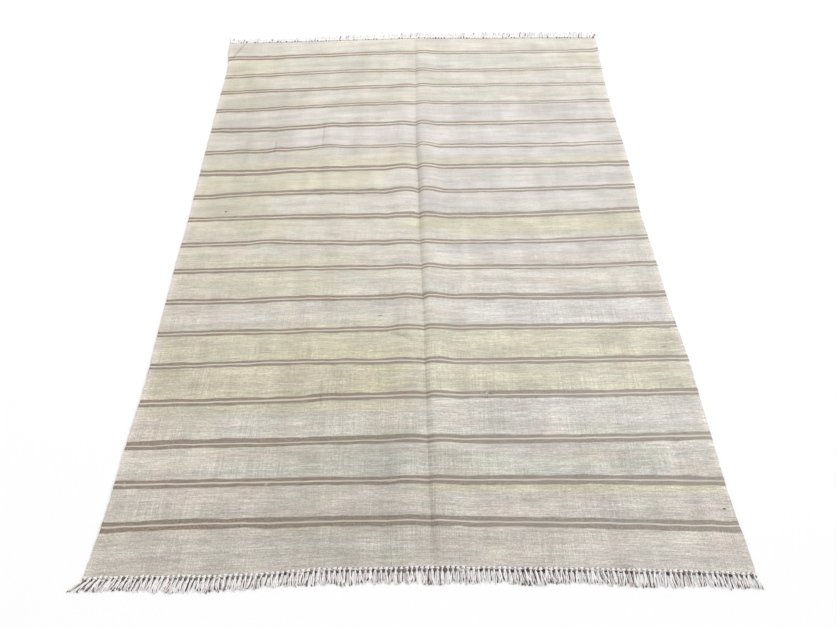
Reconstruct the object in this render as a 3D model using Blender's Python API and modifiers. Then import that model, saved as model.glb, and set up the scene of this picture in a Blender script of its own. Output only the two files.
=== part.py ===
"""Striped flat-woven rug with a knotted fringe at each end, lying flat on a floor.

Units are metres, +Z up. The rug runs along Y, with its far end at +Y, and its underside
lies on the floor at Z = 0. The origin is the middle of the whole rug's box, on the floor.
"""

import math
import random
from collections import namedtuple

import bmesh
import bpy
import numpy

# Cloth: past LEVEL_END, towards either end, its lift no longer changes along the length
CLOTH_THICKNESS = 0.003
PIECE_GAP = 0.0003
LEVEL_END = 1.195

# Side edges of the cloth: the worn rug is narrower at its waist and flares at its corners
Side = namedtuple("Side", "y left right")
SIDES = (
    Side(y=1.215, left=-0.871, right=0.863),
    Side(y=1.128, left=-0.863, right=0.860),
    Side(y=1.028, left=-0.851, right=0.853),
    Side(y=0.728, left=-0.849, right=0.844),
    Side(y=0.428, left=-0.848, right=0.849),
    Side(y=0.198, left=-0.846, right=0.846),
    Side(y=0.068, left=-0.844, right=0.838),
    Side(y=-0.062, left=-0.846, right=0.841),
    Side(y=-0.172, left=-0.847, right=0.845),
    Side(y=-0.282, left=-0.847, right=0.845),
    Side(y=-0.472, left=-0.846, right=0.851),
    Side(y=-0.622, left=-0.843, right=0.858),
    Side(y=-0.922, left=-0.853, right=0.858),
    Side(y=-1.072, left=-0.857, right=0.859),
    Side(y=-1.172, left=-0.864, right=0.867),
    Side(y=-1.245, left=-0.872, right=0.869),
)

# Ends of the cloth: where the weave stops, how long the fringe is and how far it leans in X
End = namedtuple("End", "x edge length lean")
NEAR_END = (
    End(x=-0.872, edge=-1.245, length=0.030, lean=-0.034),
    End(x=-0.840, edge=-1.244, length=0.033, lean=-0.020),
    End(x=-0.780, edge=-1.243, length=0.034, lean=-0.013),
    End(x=-0.700, edge=-1.242, length=0.037, lean=-0.008),
    End(x=-0.620, edge=-1.242, length=0.042, lean=-0.009),
    End(x=-0.560, edge=-1.242, length=0.039, lean=-0.006),
    End(x=-0.500, edge=-1.241, length=0.038, lean=-0.001),
    End(x=-0.420, edge=-1.238, length=0.039, lean=-0.007),
    End(x=-0.330, edge=-1.232, length=0.038, lean=-0.004),
    End(x=-0.260, edge=-1.228, length=0.039, lean=-0.001),
    End(x=-0.200, edge=-1.227, length=0.041, lean=0.006),
    End(x=-0.130, edge=-1.227, length=0.038, lean=0.000),
    End(x=0.000, edge=-1.226, length=0.041, lean=0.001),
    End(x=0.220, edge=-1.229, length=0.038, lean=0.002),
    End(x=0.280, edge=-1.231, length=0.044, lean=0.007),
    End(x=0.350, edge=-1.232, length=0.036, lean=0.001),
    End(x=0.450, edge=-1.234, length=0.039, lean=0.003),
    End(x=0.600, edge=-1.239, length=0.042, lean=-0.001),
    End(x=0.740, edge=-1.245, length=0.037, lean=0.003),
    End(x=0.840, edge=-1.250, length=0.037, lean=0.006),
    End(x=0.869, edge=-1.251, length=0.038, lean=0.010),
)
FAR_END = (
    End(x=-0.871, edge=1.206, length=0.064, lean=-0.014),
    End(x=-0.855, edge=1.207, length=0.046, lean=-0.006),
    End(x=-0.800, edge=1.208, length=0.038, lean=-0.002),
    End(x=-0.650, edge=1.211, length=0.041, lean=0.002),
    End(x=-0.450, edge=1.219, length=0.046, lean=0.003),
    End(x=-0.250, edge=1.227, length=0.049, lean=0.003),
    End(x=0.000, edge=1.235, length=0.054, lean=0.003),
    End(x=0.250, edge=1.234, length=0.052, lean=0.004),
    End(x=0.450, edge=1.233, length=0.055, lean=0.008),
    End(x=0.650, edge=1.233, length=0.055, lean=0.009),
    End(x=0.780, edge=1.231, length=0.054, lean=0.012),
    End(x=0.845, edge=1.229, length=0.048, lean=0.022),
    End(x=0.863, edge=1.228, length=0.044, lean=0.034),
)

# The fold that runs the rug's length: a sharp valley on the floor between two low humps.
# A row gives the valley's place and how high the cloth's underside lifts on either side of it.
Fold = namedtuple("Fold", "y x left right")
FOLD = (
    Fold(y=1.235, x=0.004, left=0.0005, right=0.0020),
    Fold(y=0.980, x=0.005, left=0.0025, right=0.0090),
    Fold(y=0.870, x=0.005, left=0.0040, right=0.0070),
    Fold(y=0.740, x=0.004, left=0.0010, right=0.0050),
    Fold(y=0.610, x=0.003, left=0.0050, right=0.0090),
    Fold(y=0.455, x=0.005, left=0.0060, right=0.0140),
    Fold(y=0.340, x=0.008, left=0.0070, right=0.0120),
    Fold(y=0.195, x=0.012, left=0.0130, right=0.0170),
    Fold(y=0.065, x=0.012, left=0.0070, right=0.0115),
    Fold(y=-0.075, x=0.013, left=0.0060, right=0.0075),
    Fold(y=-0.190, x=0.017, left=0.0055, right=0.0105),
    Fold(y=-0.330, x=0.020, left=0.0075, right=0.0120),
    Fold(y=-0.450, x=0.023, left=0.0085, right=0.0095),
    Fold(y=-0.585, x=0.023, left=0.0065, right=0.0120),
    Fold(y=-0.700, x=0.025, left=0.0040, right=0.0100),
    Fold(y=-0.865, x=0.027, left=0.0090, right=0.0090),
    Fold(y=-0.980, x=0.028, left=0.0090, right=0.0080),
    Fold(y=-1.110, x=0.032, left=0.0080, right=0.0080),
    Fold(y=-1.226, x=0.035, left=0.0020, right=0.0030),
)
LEFT_CREST = 0.050
LEFT_REACH = 0.145
RIGHT_CREST = 0.031
RIGHT_REACH = 0.108

# Cloth grid: columns crowd towards the fold, and the first and last rows are short
LEFT_FOLD_COLUMNS = (0.014, 0.031, 0.050, 0.075, 0.105, 0.145)
RIGHT_FOLD_COLUMNS = (0.010, 0.021, 0.033, 0.052, 0.078, 0.108)
OUTER_COLUMNS = 7
END_ROW = 0.015
ROWS = 32
EDGE_PASSES = 3

# Fringe: each knot ties the warps of one lock, and a narrow twined strip carries the knots
LOCKS = 130
STRIP_WIDTH = 0.004
KNOT_JITTER = 0.0008
LENGTH_JITTER = 0.0028
LEAN_JITTER = 0.0007

# Sections of a lock after its root: how far out each lies, its size, and its share of the lean
Section = namedtuple("Section", "name out width height lean")
LOCK_SECTIONS = (
    Section(name="knot", out=0.14, width=0.0084, height=0.0056, lean=0.02),
    Section(name="neck", out=0.28, width=0.0056, height=0.0036, lean=0.14),
    Section(name="body", out=0.64, width=0.0092, height=0.0036, lean=0.60),
    Section(name="tip", out=1.00, width=0.0080, height=0.0016, lean=1.00),
)
ROOT_WIDTH = 0.0050

# Colours of the pieces, in linear light
WOOL = (0.610, 0.585, 0.500, 1.0)
COTTON = (0.720, 0.690, 0.640, 1.0)
CLOTH_ROUGHNESS = 0.92
FRINGE_ROUGHNESS = 0.90


def clear_scene():
    """Remove every object that is in the scene."""
    for item in list(bpy.data.objects):
        bpy.data.objects.remove(item, do_unlink=True)


def read_column(table, key, column, value):
    """Return a table's column at a value of its key, on a smooth curve through its rows."""
    rows = sorted(table, key=lambda row: getattr(row, key))
    keys = [getattr(row, key) for row in rows]
    values = [getattr(row, column) for row in rows]
    value = min(max(value, keys[0]), keys[-1])
    last = len(keys) - 1
    first = max(index for index in range(last) if keys[index] <= value)
    slopes = [(values[i + 1] - values[i]) / (keys[i + 1] - keys[i]) for i in range(last)]

    def tangent(index):
        if index in (0, last):
            return slopes[min(index, last - 1)]
        if slopes[index - 1] * slopes[index] <= 0.0:
            return 0.0
        return 0.5 * (slopes[index - 1] + slopes[index])

    span = keys[first + 1] - keys[first]
    t = (value - keys[first]) / span
    start = (2 * t**3 - 3 * t**2 + 1) * values[first] + (t**3 - 2 * t**2 + t) * span * tangent(first)
    finish = (3 * t**2 - 2 * t**3) * values[first + 1] + (t**3 - t**2) * span * tangent(first + 1)
    return start + finish


def hump(distance, crest, reach):
    """Return a hump's share of its height, from the valley out to where it meets the floor."""
    if distance < crest:
        return math.sin(0.5 * math.pi * distance / crest)
    if distance < reach:
        return 0.5 + 0.5 * math.cos(math.pi * (distance - crest) / (reach - crest))
    return 0.0


def lift(x, y):
    """Return how high the cloth's underside lies above the floor."""
    y = min(max(y, -LEVEL_END), LEVEL_END)
    offset = x - read_column(FOLD, "y", "x", y)
    if offset < 0.0:
        return read_column(FOLD, "y", "left", y) * hump(-offset, LEFT_CREST, LEFT_REACH)
    return read_column(FOLD, "y", "right", y) * hump(offset, RIGHT_CREST, RIGHT_REACH)


def spread(first, last, count):
    """Return evenly spaced values after first, up to and with last."""
    return [first + (last - first) * (index + 1) / count for index in range(count)]


def cloth_columns():
    """Return each column's share of the way from the fold to the side that it lies on."""
    left = list(LEFT_FOLD_COLUMNS)
    left += spread(left[-1], -SIDES[0].left, OUTER_COLUMNS)
    right = list(RIGHT_FOLD_COLUMNS)
    right += spread(right[-1], SIDES[0].right, OUTER_COLUMNS)
    shares = [-distance / left[-1] for distance in reversed(left)]
    shares.append(0.0)
    shares += [distance / right[-1] for distance in right]
    return shares


def cloth_rows():
    """Return each row's share of the length, from the near end to the far end."""
    length = FAR_END[0].edge - NEAR_END[0].edge
    margin = END_ROW / length
    return [0.0, margin] + spread(margin, 1.0 - margin, ROWS) + [1.0]


def column_place(column, y):
    """Return where a column of the cloth lies in X at a place along the length."""
    fold = read_column(FOLD, "y", "x", y)
    side = read_column(SIDES, "y", "right" if column > 0.0 else "left", y)
    return fold + abs(column) * (side - fold)


def end_point(column, end):
    """Return where a column of the cloth comes to an end's edge, in X and Y."""
    x = column_place(column, end[0].edge)
    for _ in range(EDGE_PASSES):
        y = read_column(end, "x", "edge", x)
        x = column_place(column, y)
    return x, y


def cloth_point(column, row):
    """Return a point of the cloth's underside from its column's and its row's share."""
    near = end_point(column, NEAR_END)[1] + STRIP_WIDTH + PIECE_GAP
    far = end_point(column, FAR_END)[1] - STRIP_WIDTH - PIECE_GAP
    y = near + (far - near) * row
    x = column_place(column, y)
    return x, y, lift(x, y)


def make_material(name, color, roughness):
    """Return a plain finish of one colour and roughness."""
    material = bpy.data.materials.new(name)
    material.use_nodes = True
    shader = material.node_tree.nodes["Principled BSDF"]
    shader.inputs["Base Color"].default_value = color
    shader.inputs["Roughness"].default_value = roughness
    shader.inputs["Metallic"].default_value = 0.0
    return material


def add_object(name, shape, material, collection):
    """Make a mesh object from a bmesh and free the bmesh."""
    mesh = bpy.data.meshes.new(name)
    shape.to_mesh(mesh)
    shape.free()
    mesh.shade_smooth()
    mesh.set_sharp_from_angle(angle=math.radians(40.0))
    mesh.materials.append(material)
    item = bpy.data.objects.new(name, mesh)
    collection.objects.link(item)
    return item


def shape_grid(columns, rows, place):
    """Return a grid whose points are moved by a function of their column and row."""
    shape = bmesh.new()
    bmesh.ops.create_grid(shape, x_segments=len(columns) - 1, y_segments=len(rows) - 1, size=0.5)
    for point in shape.verts:
        column = round((point.co.x + 0.5) * (len(columns) - 1))
        row = round((point.co.y + 0.5) * (len(rows) - 1))
        point.co = place(columns[column], rows[row])
    return shape


def build_cloth(collection):
    """Build the woven cloth as one sheet that lies on the floor and lifts beside its fold."""
    shape = shape_grid(cloth_columns(), cloth_rows(), cloth_point)
    wool = make_material("woven_wool", WOOL, CLOTH_ROUGHNESS)
    cloth = add_object("rug_cloth", shape, wool, collection)
    wall = cloth.modifiers.new("Thickness", "SOLIDIFY")
    wall.thickness = CLOTH_THICKNESS
    wall.offset = 1.0
    return cloth


def knot_places(end, seed):
    """Return where the knots sit in X along an end of the cloth."""
    chance = random.Random(seed)
    left = end[0].x
    pitch = (end[-1].x - left) / LOCKS
    jitters = [chance.uniform(-KNOT_JITTER, KNOT_JITTER) for _ in range(LOCKS)]
    return [left + (index + 0.5) * pitch + jitter for index, jitter in enumerate(jitters)]


def extrude_lock(shape, root, outward, length, lean):
    """Draw one lock out of a face of the strip: its knot, neck, body and tip."""
    middle = root.calc_center_median()
    face = root
    for section in LOCK_SECTIONS:
        face = bmesh.ops.extrude_discrete_faces(shape, faces=[face])["faces"][0]
        center = face.calc_center_median()
        for point in face.verts:
            right = 1.0 if point.co.x > center.x else -1.0
            top = point.co.z > center.z
            x = middle.x + section.lean * lean + right * section.width / 2
            y = middle.y + outward * section.out * length
            point.co = (x, y, section.height if top else 0.0)


def build_fringe(name, end, outward, seed, material, collection):
    """Build an end's fringe: a narrow strip beside the cloth and a lock at each knot."""
    places = knot_places(end, seed)
    stops = [end[0].x]
    for place in places:
        stops += [place - ROOT_WIDTH / 2, place + ROOT_WIDTH / 2]
    stops.append(end[-1].x)

    cloth_edge = [end_point(column, end) for column in cloth_columns()]
    edge_x, edge_y = zip(*cloth_edge)

    def strip_point(x, side):
        edge = float(numpy.interp(x, edge_x, edge_y))
        y = edge if side == outward else edge - outward * STRIP_WIDTH
        return x, y, lift(x, edge)

    shape = shape_grid(stops, (-1.0, 1.0), strip_point)
    wall = bmesh.ops.extrude_face_region(shape, geom=shape.faces[:])["geom"]
    top = [item for item in wall if isinstance(item, bmesh.types.BMVert)]
    bmesh.ops.translate(shape, verts=top, vec=(0.0, 0.0, CLOTH_THICKNESS))
    bmesh.ops.recalc_face_normals(shape, faces=shape.faces[:])

    outer = [face for face in shape.faces if face.normal.y * outward > 0.5]
    outer.sort(key=lambda face: face.calc_center_median().x)
    roots = outer[1::2]
    chance = random.Random(seed + 1)
    for place, root in zip(places, roots):
        length = read_column(end, "x", "length", place) + chance.uniform(-LENGTH_JITTER, LENGTH_JITTER)
        lean = read_column(end, "x", "lean", place) + chance.uniform(-LEAN_JITTER, LEAN_JITTER)
        extrude_lock(shape, root, outward, length, lean)
    return add_object(name, shape, material, collection)


def centre_on_floor(pieces):
    """Move the pieces so that the origin is the middle of their box, seen from above."""
    bpy.context.view_layer.update()
    corners = [corner for piece in pieces for corner in piece.bound_box]
    middle_x = (min(corner[0] for corner in corners) + max(corner[0] for corner in corners)) / 2
    middle_y = (min(corner[1] for corner in corners) + max(corner[1] for corner in corners)) / 2
    for piece in pieces:
        for point in piece.data.vertices:
            point.co.x -= middle_x
            point.co.y -= middle_y


def build_rug():
    """Build the rug's three pieces in a collection of their own."""
    clear_scene()
    collection = bpy.data.collections.new("kilim_rug")
    bpy.context.scene.collection.children.link(collection)
    cotton = make_material("fringe_cotton", COTTON, FRINGE_ROUGHNESS)
    pieces = [
        build_cloth(collection),
        build_fringe("fringe_near", NEAR_END, -1.0, 11, cotton, collection),
        build_fringe("fringe_far", FAR_END, 1.0, 23, cotton, collection),
    ]
    centre_on_floor(pieces)


build_rug()
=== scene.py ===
"""The looks of a striped flat-woven rug: its cloth, its two knotted fringes and a plain studio.

Everything is in metres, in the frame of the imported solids. The tables give the rug in its
maker's sizes, with the far end at +Y, and RugLayout.shift moves them onto the solids.
"""

from __future__ import annotations

import logging
import math
import random
from dataclasses import dataclass, field
from enum import Enum
from typing import NamedTuple, Sequence

import bpy
import numpy as np
from mathutils import Matrix, Vector

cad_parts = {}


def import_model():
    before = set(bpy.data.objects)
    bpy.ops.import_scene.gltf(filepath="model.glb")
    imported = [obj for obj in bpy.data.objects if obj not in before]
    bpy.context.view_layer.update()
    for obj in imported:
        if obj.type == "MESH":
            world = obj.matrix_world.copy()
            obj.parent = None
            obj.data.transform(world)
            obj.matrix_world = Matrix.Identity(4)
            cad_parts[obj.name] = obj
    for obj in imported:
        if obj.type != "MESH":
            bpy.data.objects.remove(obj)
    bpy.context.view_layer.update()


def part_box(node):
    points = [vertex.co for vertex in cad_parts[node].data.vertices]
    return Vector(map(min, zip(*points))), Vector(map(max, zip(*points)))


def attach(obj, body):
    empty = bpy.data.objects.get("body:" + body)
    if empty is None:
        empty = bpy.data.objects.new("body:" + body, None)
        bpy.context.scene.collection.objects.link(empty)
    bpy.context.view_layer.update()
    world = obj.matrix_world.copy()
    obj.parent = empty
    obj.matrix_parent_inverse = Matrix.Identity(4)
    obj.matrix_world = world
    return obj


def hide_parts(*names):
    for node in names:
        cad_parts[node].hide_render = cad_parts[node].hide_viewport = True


LOG = logging.getLogger("kilim")
MM = 0.001


class Side(NamedTuple):
    """Where the two side edges of the cloth lie at a place along the rug."""

    y: float
    left: float
    right: float


class End(NamedTuple):
    """Where the weave stops at a place across an end, and its fringe's length and lean."""

    x: float
    edge: float
    length: float
    lean: float


class Fold(NamedTuple):
    """The fold's valley at a place along the rug, and the lift of the cloth on either side."""

    y: float
    x: float
    left: float
    right: float


SIDES = (
    Side(y=1.215, left=-0.871, right=0.863),
    Side(y=1.128, left=-0.863, right=0.860),
    Side(y=1.028, left=-0.851, right=0.853),
    Side(y=0.728, left=-0.849, right=0.844),
    Side(y=0.428, left=-0.848, right=0.849),
    Side(y=0.198, left=-0.846, right=0.846),
    Side(y=0.068, left=-0.844, right=0.838),
    Side(y=-0.062, left=-0.846, right=0.841),
    Side(y=-0.172, left=-0.847, right=0.845),
    Side(y=-0.282, left=-0.847, right=0.845),
    Side(y=-0.472, left=-0.846, right=0.851),
    Side(y=-0.622, left=-0.843, right=0.858),
    Side(y=-0.922, left=-0.853, right=0.858),
    Side(y=-1.072, left=-0.857, right=0.859),
    Side(y=-1.172, left=-0.864, right=0.867),
    Side(y=-1.245, left=-0.872, right=0.869),
)
NEAR_END = (
    End(x=-0.872, edge=-1.245, length=0.030, lean=-0.034),
    End(x=-0.840, edge=-1.244, length=0.033, lean=-0.020),
    End(x=-0.780, edge=-1.243, length=0.034, lean=-0.013),
    End(x=-0.700, edge=-1.242, length=0.037, lean=-0.008),
    End(x=-0.620, edge=-1.242, length=0.042, lean=-0.009),
    End(x=-0.560, edge=-1.242, length=0.039, lean=-0.006),
    End(x=-0.500, edge=-1.241, length=0.038, lean=-0.001),
    End(x=-0.420, edge=-1.238, length=0.039, lean=-0.007),
    End(x=-0.330, edge=-1.232, length=0.038, lean=-0.004),
    End(x=-0.260, edge=-1.228, length=0.039, lean=-0.001),
    End(x=-0.200, edge=-1.227, length=0.041, lean=0.006),
    End(x=-0.130, edge=-1.227, length=0.038, lean=0.000),
    End(x=0.000, edge=-1.226, length=0.041, lean=0.001),
    End(x=0.220, edge=-1.229, length=0.038, lean=0.002),
    End(x=0.280, edge=-1.231, length=0.044, lean=0.007),
    End(x=0.350, edge=-1.232, length=0.036, lean=0.001),
    End(x=0.450, edge=-1.234, length=0.039, lean=0.003),
    End(x=0.600, edge=-1.239, length=0.042, lean=-0.001),
    End(x=0.740, edge=-1.245, length=0.037, lean=0.003),
    End(x=0.840, edge=-1.250, length=0.037, lean=0.006),
    End(x=0.869, edge=-1.251, length=0.038, lean=0.010),
)
FAR_END = (
    End(x=-0.871, edge=1.206, length=0.064, lean=-0.014),
    End(x=-0.855, edge=1.207, length=0.046, lean=-0.006),
    End(x=-0.800, edge=1.208, length=0.038, lean=-0.002),
    End(x=-0.650, edge=1.211, length=0.041, lean=0.002),
    End(x=-0.450, edge=1.219, length=0.046, lean=0.003),
    End(x=-0.250, edge=1.227, length=0.049, lean=0.003),
    End(x=0.000, edge=1.235, length=0.054, lean=0.003),
    End(x=0.250, edge=1.234, length=0.052, lean=0.004),
    End(x=0.450, edge=1.233, length=0.055, lean=0.008),
    End(x=0.650, edge=1.233, length=0.055, lean=0.009),
    End(x=0.780, edge=1.231, length=0.054, lean=0.012),
    End(x=0.845, edge=1.229, length=0.048, lean=0.022),
    End(x=0.863, edge=1.228, length=0.044, lean=0.034),
)
FOLD = (
    Fold(y=1.235, x=0.004, left=0.0005, right=0.0020),
    Fold(y=0.980, x=0.005, left=0.0025, right=0.0090),
    Fold(y=0.870, x=0.005, left=0.0040, right=0.0070),
    Fold(y=0.740, x=0.004, left=0.0010, right=0.0050),
    Fold(y=0.610, x=0.003, left=0.0050, right=0.0090),
    Fold(y=0.455, x=0.005, left=0.0060, right=0.0140),
    Fold(y=0.340, x=0.008, left=0.0070, right=0.0120),
    Fold(y=0.195, x=0.012, left=0.0130, right=0.0170),
    Fold(y=0.065, x=0.012, left=0.0070, right=0.0115),
    Fold(y=-0.075, x=0.013, left=0.0060, right=0.0075),
    Fold(y=-0.190, x=0.017, left=0.0055, right=0.0105),
    Fold(y=-0.330, x=0.020, left=0.0075, right=0.0120),
    Fold(y=-0.450, x=0.023, left=0.0085, right=0.0095),
    Fold(y=-0.585, x=0.023, left=0.0065, right=0.0120),
    Fold(y=-0.700, x=0.025, left=0.0040, right=0.0100),
    Fold(y=-0.865, x=0.027, left=0.0090, right=0.0090),
    Fold(y=-0.980, x=0.028, left=0.0090, right=0.0080),
    Fold(y=-1.110, x=0.032, left=0.0080, right=0.0080),
    Fold(y=-1.226, x=0.035, left=0.0020, right=0.0030),
)


class Pair(NamedTuple):
    """A pair of weft lines: where its middle lies along the rug, in mm, at seven places across."""

    left: int
    outer_left: int
    mid_left: int
    inner_left: int
    inner_right: int
    mid_right: int
    right: int


PAIR_STATIONS = (-0.840, -0.620, -0.420, -0.200, 0.200, 0.500, 0.840)
PAIRS = (
    Pair(left=1082, outer_left=1088, mid_left=1100, inner_left=1116, inner_right=1118, mid_right=1119, right=1126),
    Pair(left=938, outer_left=954, mid_left=968, inner_left=979, inner_right=976, mid_right=980, right=990),
    Pair(left=820, outer_left=834, mid_left=842, inner_left=856, inner_right=862, mid_right=866, right=866),
    Pair(left=692, outer_left=702, mid_left=720, inner_left=735, inner_right=740, mid_right=738, right=748),
    Pair(left=562, outer_left=566, mid_left=582, inner_left=596, inner_right=596, mid_right=602, right=610),
    Pair(left=420, outer_left=427, mid_left=446, inner_left=454, inner_right=454, mid_right=454, right=468),
    Pair(left=299, outer_left=301, mid_left=314, inner_left=320, inner_right=328, mid_right=330, right=338),
    Pair(left=161, outer_left=177, mid_left=186, inner_left=187, inner_right=187, mid_right=195, right=208),
    Pair(left=43, outer_left=50, mid_left=56, inner_left=57, inner_right=52, mid_right=60, right=78),
    Pair(left=-85, outer_left=-79, mid_left=-75, inner_left=-79, inner_right=-79, mid_right=-77, right=-60),
    Pair(left=-208, outer_left=-204, mid_left=-200, inner_left=-198, inner_right=-200, mid_right=-202, right=-190),
    Pair(left=-344, outer_left=-343, mid_left=-334, inner_left=-332, inner_right=-330, mid_right=-334, right=-327),
    Pair(left=-478, outer_left=-472, mid_left=-470, inner_left=-464, inner_right=-460, mid_right=-460, right=-456),
    Pair(left=-601, outer_left=-596, mid_left=-589, inner_left=-588, inner_right=-592, mid_right=-590, right=-588),
    Pair(left=-733, outer_left=-730, mid_left=-726, inner_left=-716, inner_right=-714, mid_right=-714, right=-710),
    Pair(left=-876, outer_left=-870, mid_left=-869, inner_left=-864, inner_right=-862, mid_right=-862, right=-858),
    Pair(left=-993, outer_left=-991, mid_left=-989, inner_left=-988, inner_right=-989, mid_right=-991, right=-999),
    Pair(left=-1114, outer_left=-1107, mid_left=-1106, inner_left=-1103, inner_right=-1109, mid_right=-1116, right=-1128),
)


class Jog(NamedTuple):
    """A short rise of one pair of lines, where the weaver beat the weft unevenly."""

    pair: int
    x: float
    width: float
    rise: float


JOGS = (
    Jog(pair=1, x=-0.872, width=0.022, rise=-0.011),
    Jog(pair=1, x=-0.530, width=0.060, rise=0.004),
    Jog(pair=1, x=0.872, width=0.028, rise=0.012),
    Jog(pair=4, x=-0.560, width=0.030, rise=0.005),
    Jog(pair=5, x=-0.345, width=0.040, rise=0.006),
    Jog(pair=6, x=-0.700, width=0.035, rise=0.006),
    Jog(pair=6, x=-0.560, width=0.025, rise=0.005),
    Jog(pair=6, x=-0.350, width=0.050, rise=0.008),
    Jog(pair=7, x=-0.500, width=0.050, rise=0.004),
    Jog(pair=8, x=-0.780, width=0.040, rise=-0.003),
    Jog(pair=10, x=-0.530, width=0.060, rise=0.008),
    Jog(pair=13, x=-0.345, width=0.040, rise=0.002),
    Jog(pair=15, x=-0.260, width=0.040, rise=0.002),
)


class Lines(NamedTuple):
    """How wide a pair's two dark lines are, in mm, at four places across, its pale gap and depth."""

    upper_left: float
    upper_inner_left: float
    upper_inner_right: float
    upper_right: float
    gap_left: float
    gap_right: float
    lower_left: float
    lower_inner_left: float
    lower_inner_right: float
    lower_right: float
    dark: float


LINE_STATIONS = (-0.710, -0.250, 0.250, 0.700)
LINES = (
    Lines(12.6, 11.4, 9.4, 10.4, 6, 6.2, 14, 11.8, 10.6, 9.6, 1),
    Lines(8.8, 9.4, 9.8, 8.4, 6.8, 6, 11.3, 10, 9.6, 9.6, 0.98),
    Lines(10.3, 10.8, 8.6, 9, 4.6, 6.4, 11.6, 10.6, 9.2, 9.6, 0.98),
    Lines(10, 9, 7.4, 10, 4.5, 5.4, 11.2, 10.6, 10.4, 8.8, 1),
    Lines(12.4, 12.6, 10, 9.8, 5.6, 6.8, 14.3, 12.4, 10.9, 10.9, 1.04),
    Lines(10, 7, 9.2, 8, 5, 8.4, 11.3, 8.4, 9.9, 9.6, 1.02),
    Lines(13.6, 13.8, 10.6, 12.8, 6.6, 6.1, 14.8, 12.4, 11.4, 12.8, 1.04),
    Lines(13.8, 13.6, 10.8, 10.2, 4.2, 4.6, 11.8, 12, 8.7, 12.6, 1.02),
    Lines(10.2, 11.2, 15.2, 13.6, 4.4, 4.8, 10.1, 14.2, 11, 11.8, 1.02),
    Lines(10.2, 8.4, 9.8, 10.1, 4.8, 5, 8.3, 11, 9.2, 9.8, 1.02),
    Lines(9.6, 9.9, 10.6, 11.8, 4.6, 4.6, 10.3, 8.2, 7.4, 8.4, 1.02),
    Lines(11, 10, 12.4, 13, 4, 3.7, 9.8, 9.4, 12.2, 11.2, 1.04),
    Lines(10, 8.9, 11.5, 12.2, 4.4, 3.6, 9.1, 9.2, 8.7, 9.3, 1.02),
    Lines(9.3, 8.2, 10.5, 11.5, 4.6, 4.4, 8.9, 9.6, 9.9, 9.4, 1),
    Lines(10, 11, 12.6, 12, 5, 4, 10.8, 10, 10.9, 10.3, 1.02),
    Lines(15.2, 14.8, 11.6, 10, 3.2, 4.6, 10.9, 8.9, 12.8, 12, 1),
    Lines(10.3, 10, 12.4, 11.8, 4.4, 4, 10.8, 9.2, 13, 12.8, 1.02),
    Lines(11.8, 12.4, 12, 12.8, 4.4, 4.1, 12.5, 12.2, 12.4, 14, 1.02),
)


class Tint(Enum):
    """The dyes that the ground's wool has faded to, besides its own ivory."""

    OLIVE = 0
    ROSE = 1
    MOSS = 2
    LILAC = 3


class Streak(NamedTuple):
    """A stretch of weft of another dye lot. Its top and bottom are counted in pairs of lines."""

    tint: Tint
    left: float
    right: float
    top: float
    bottom: float
    strength: float


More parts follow.
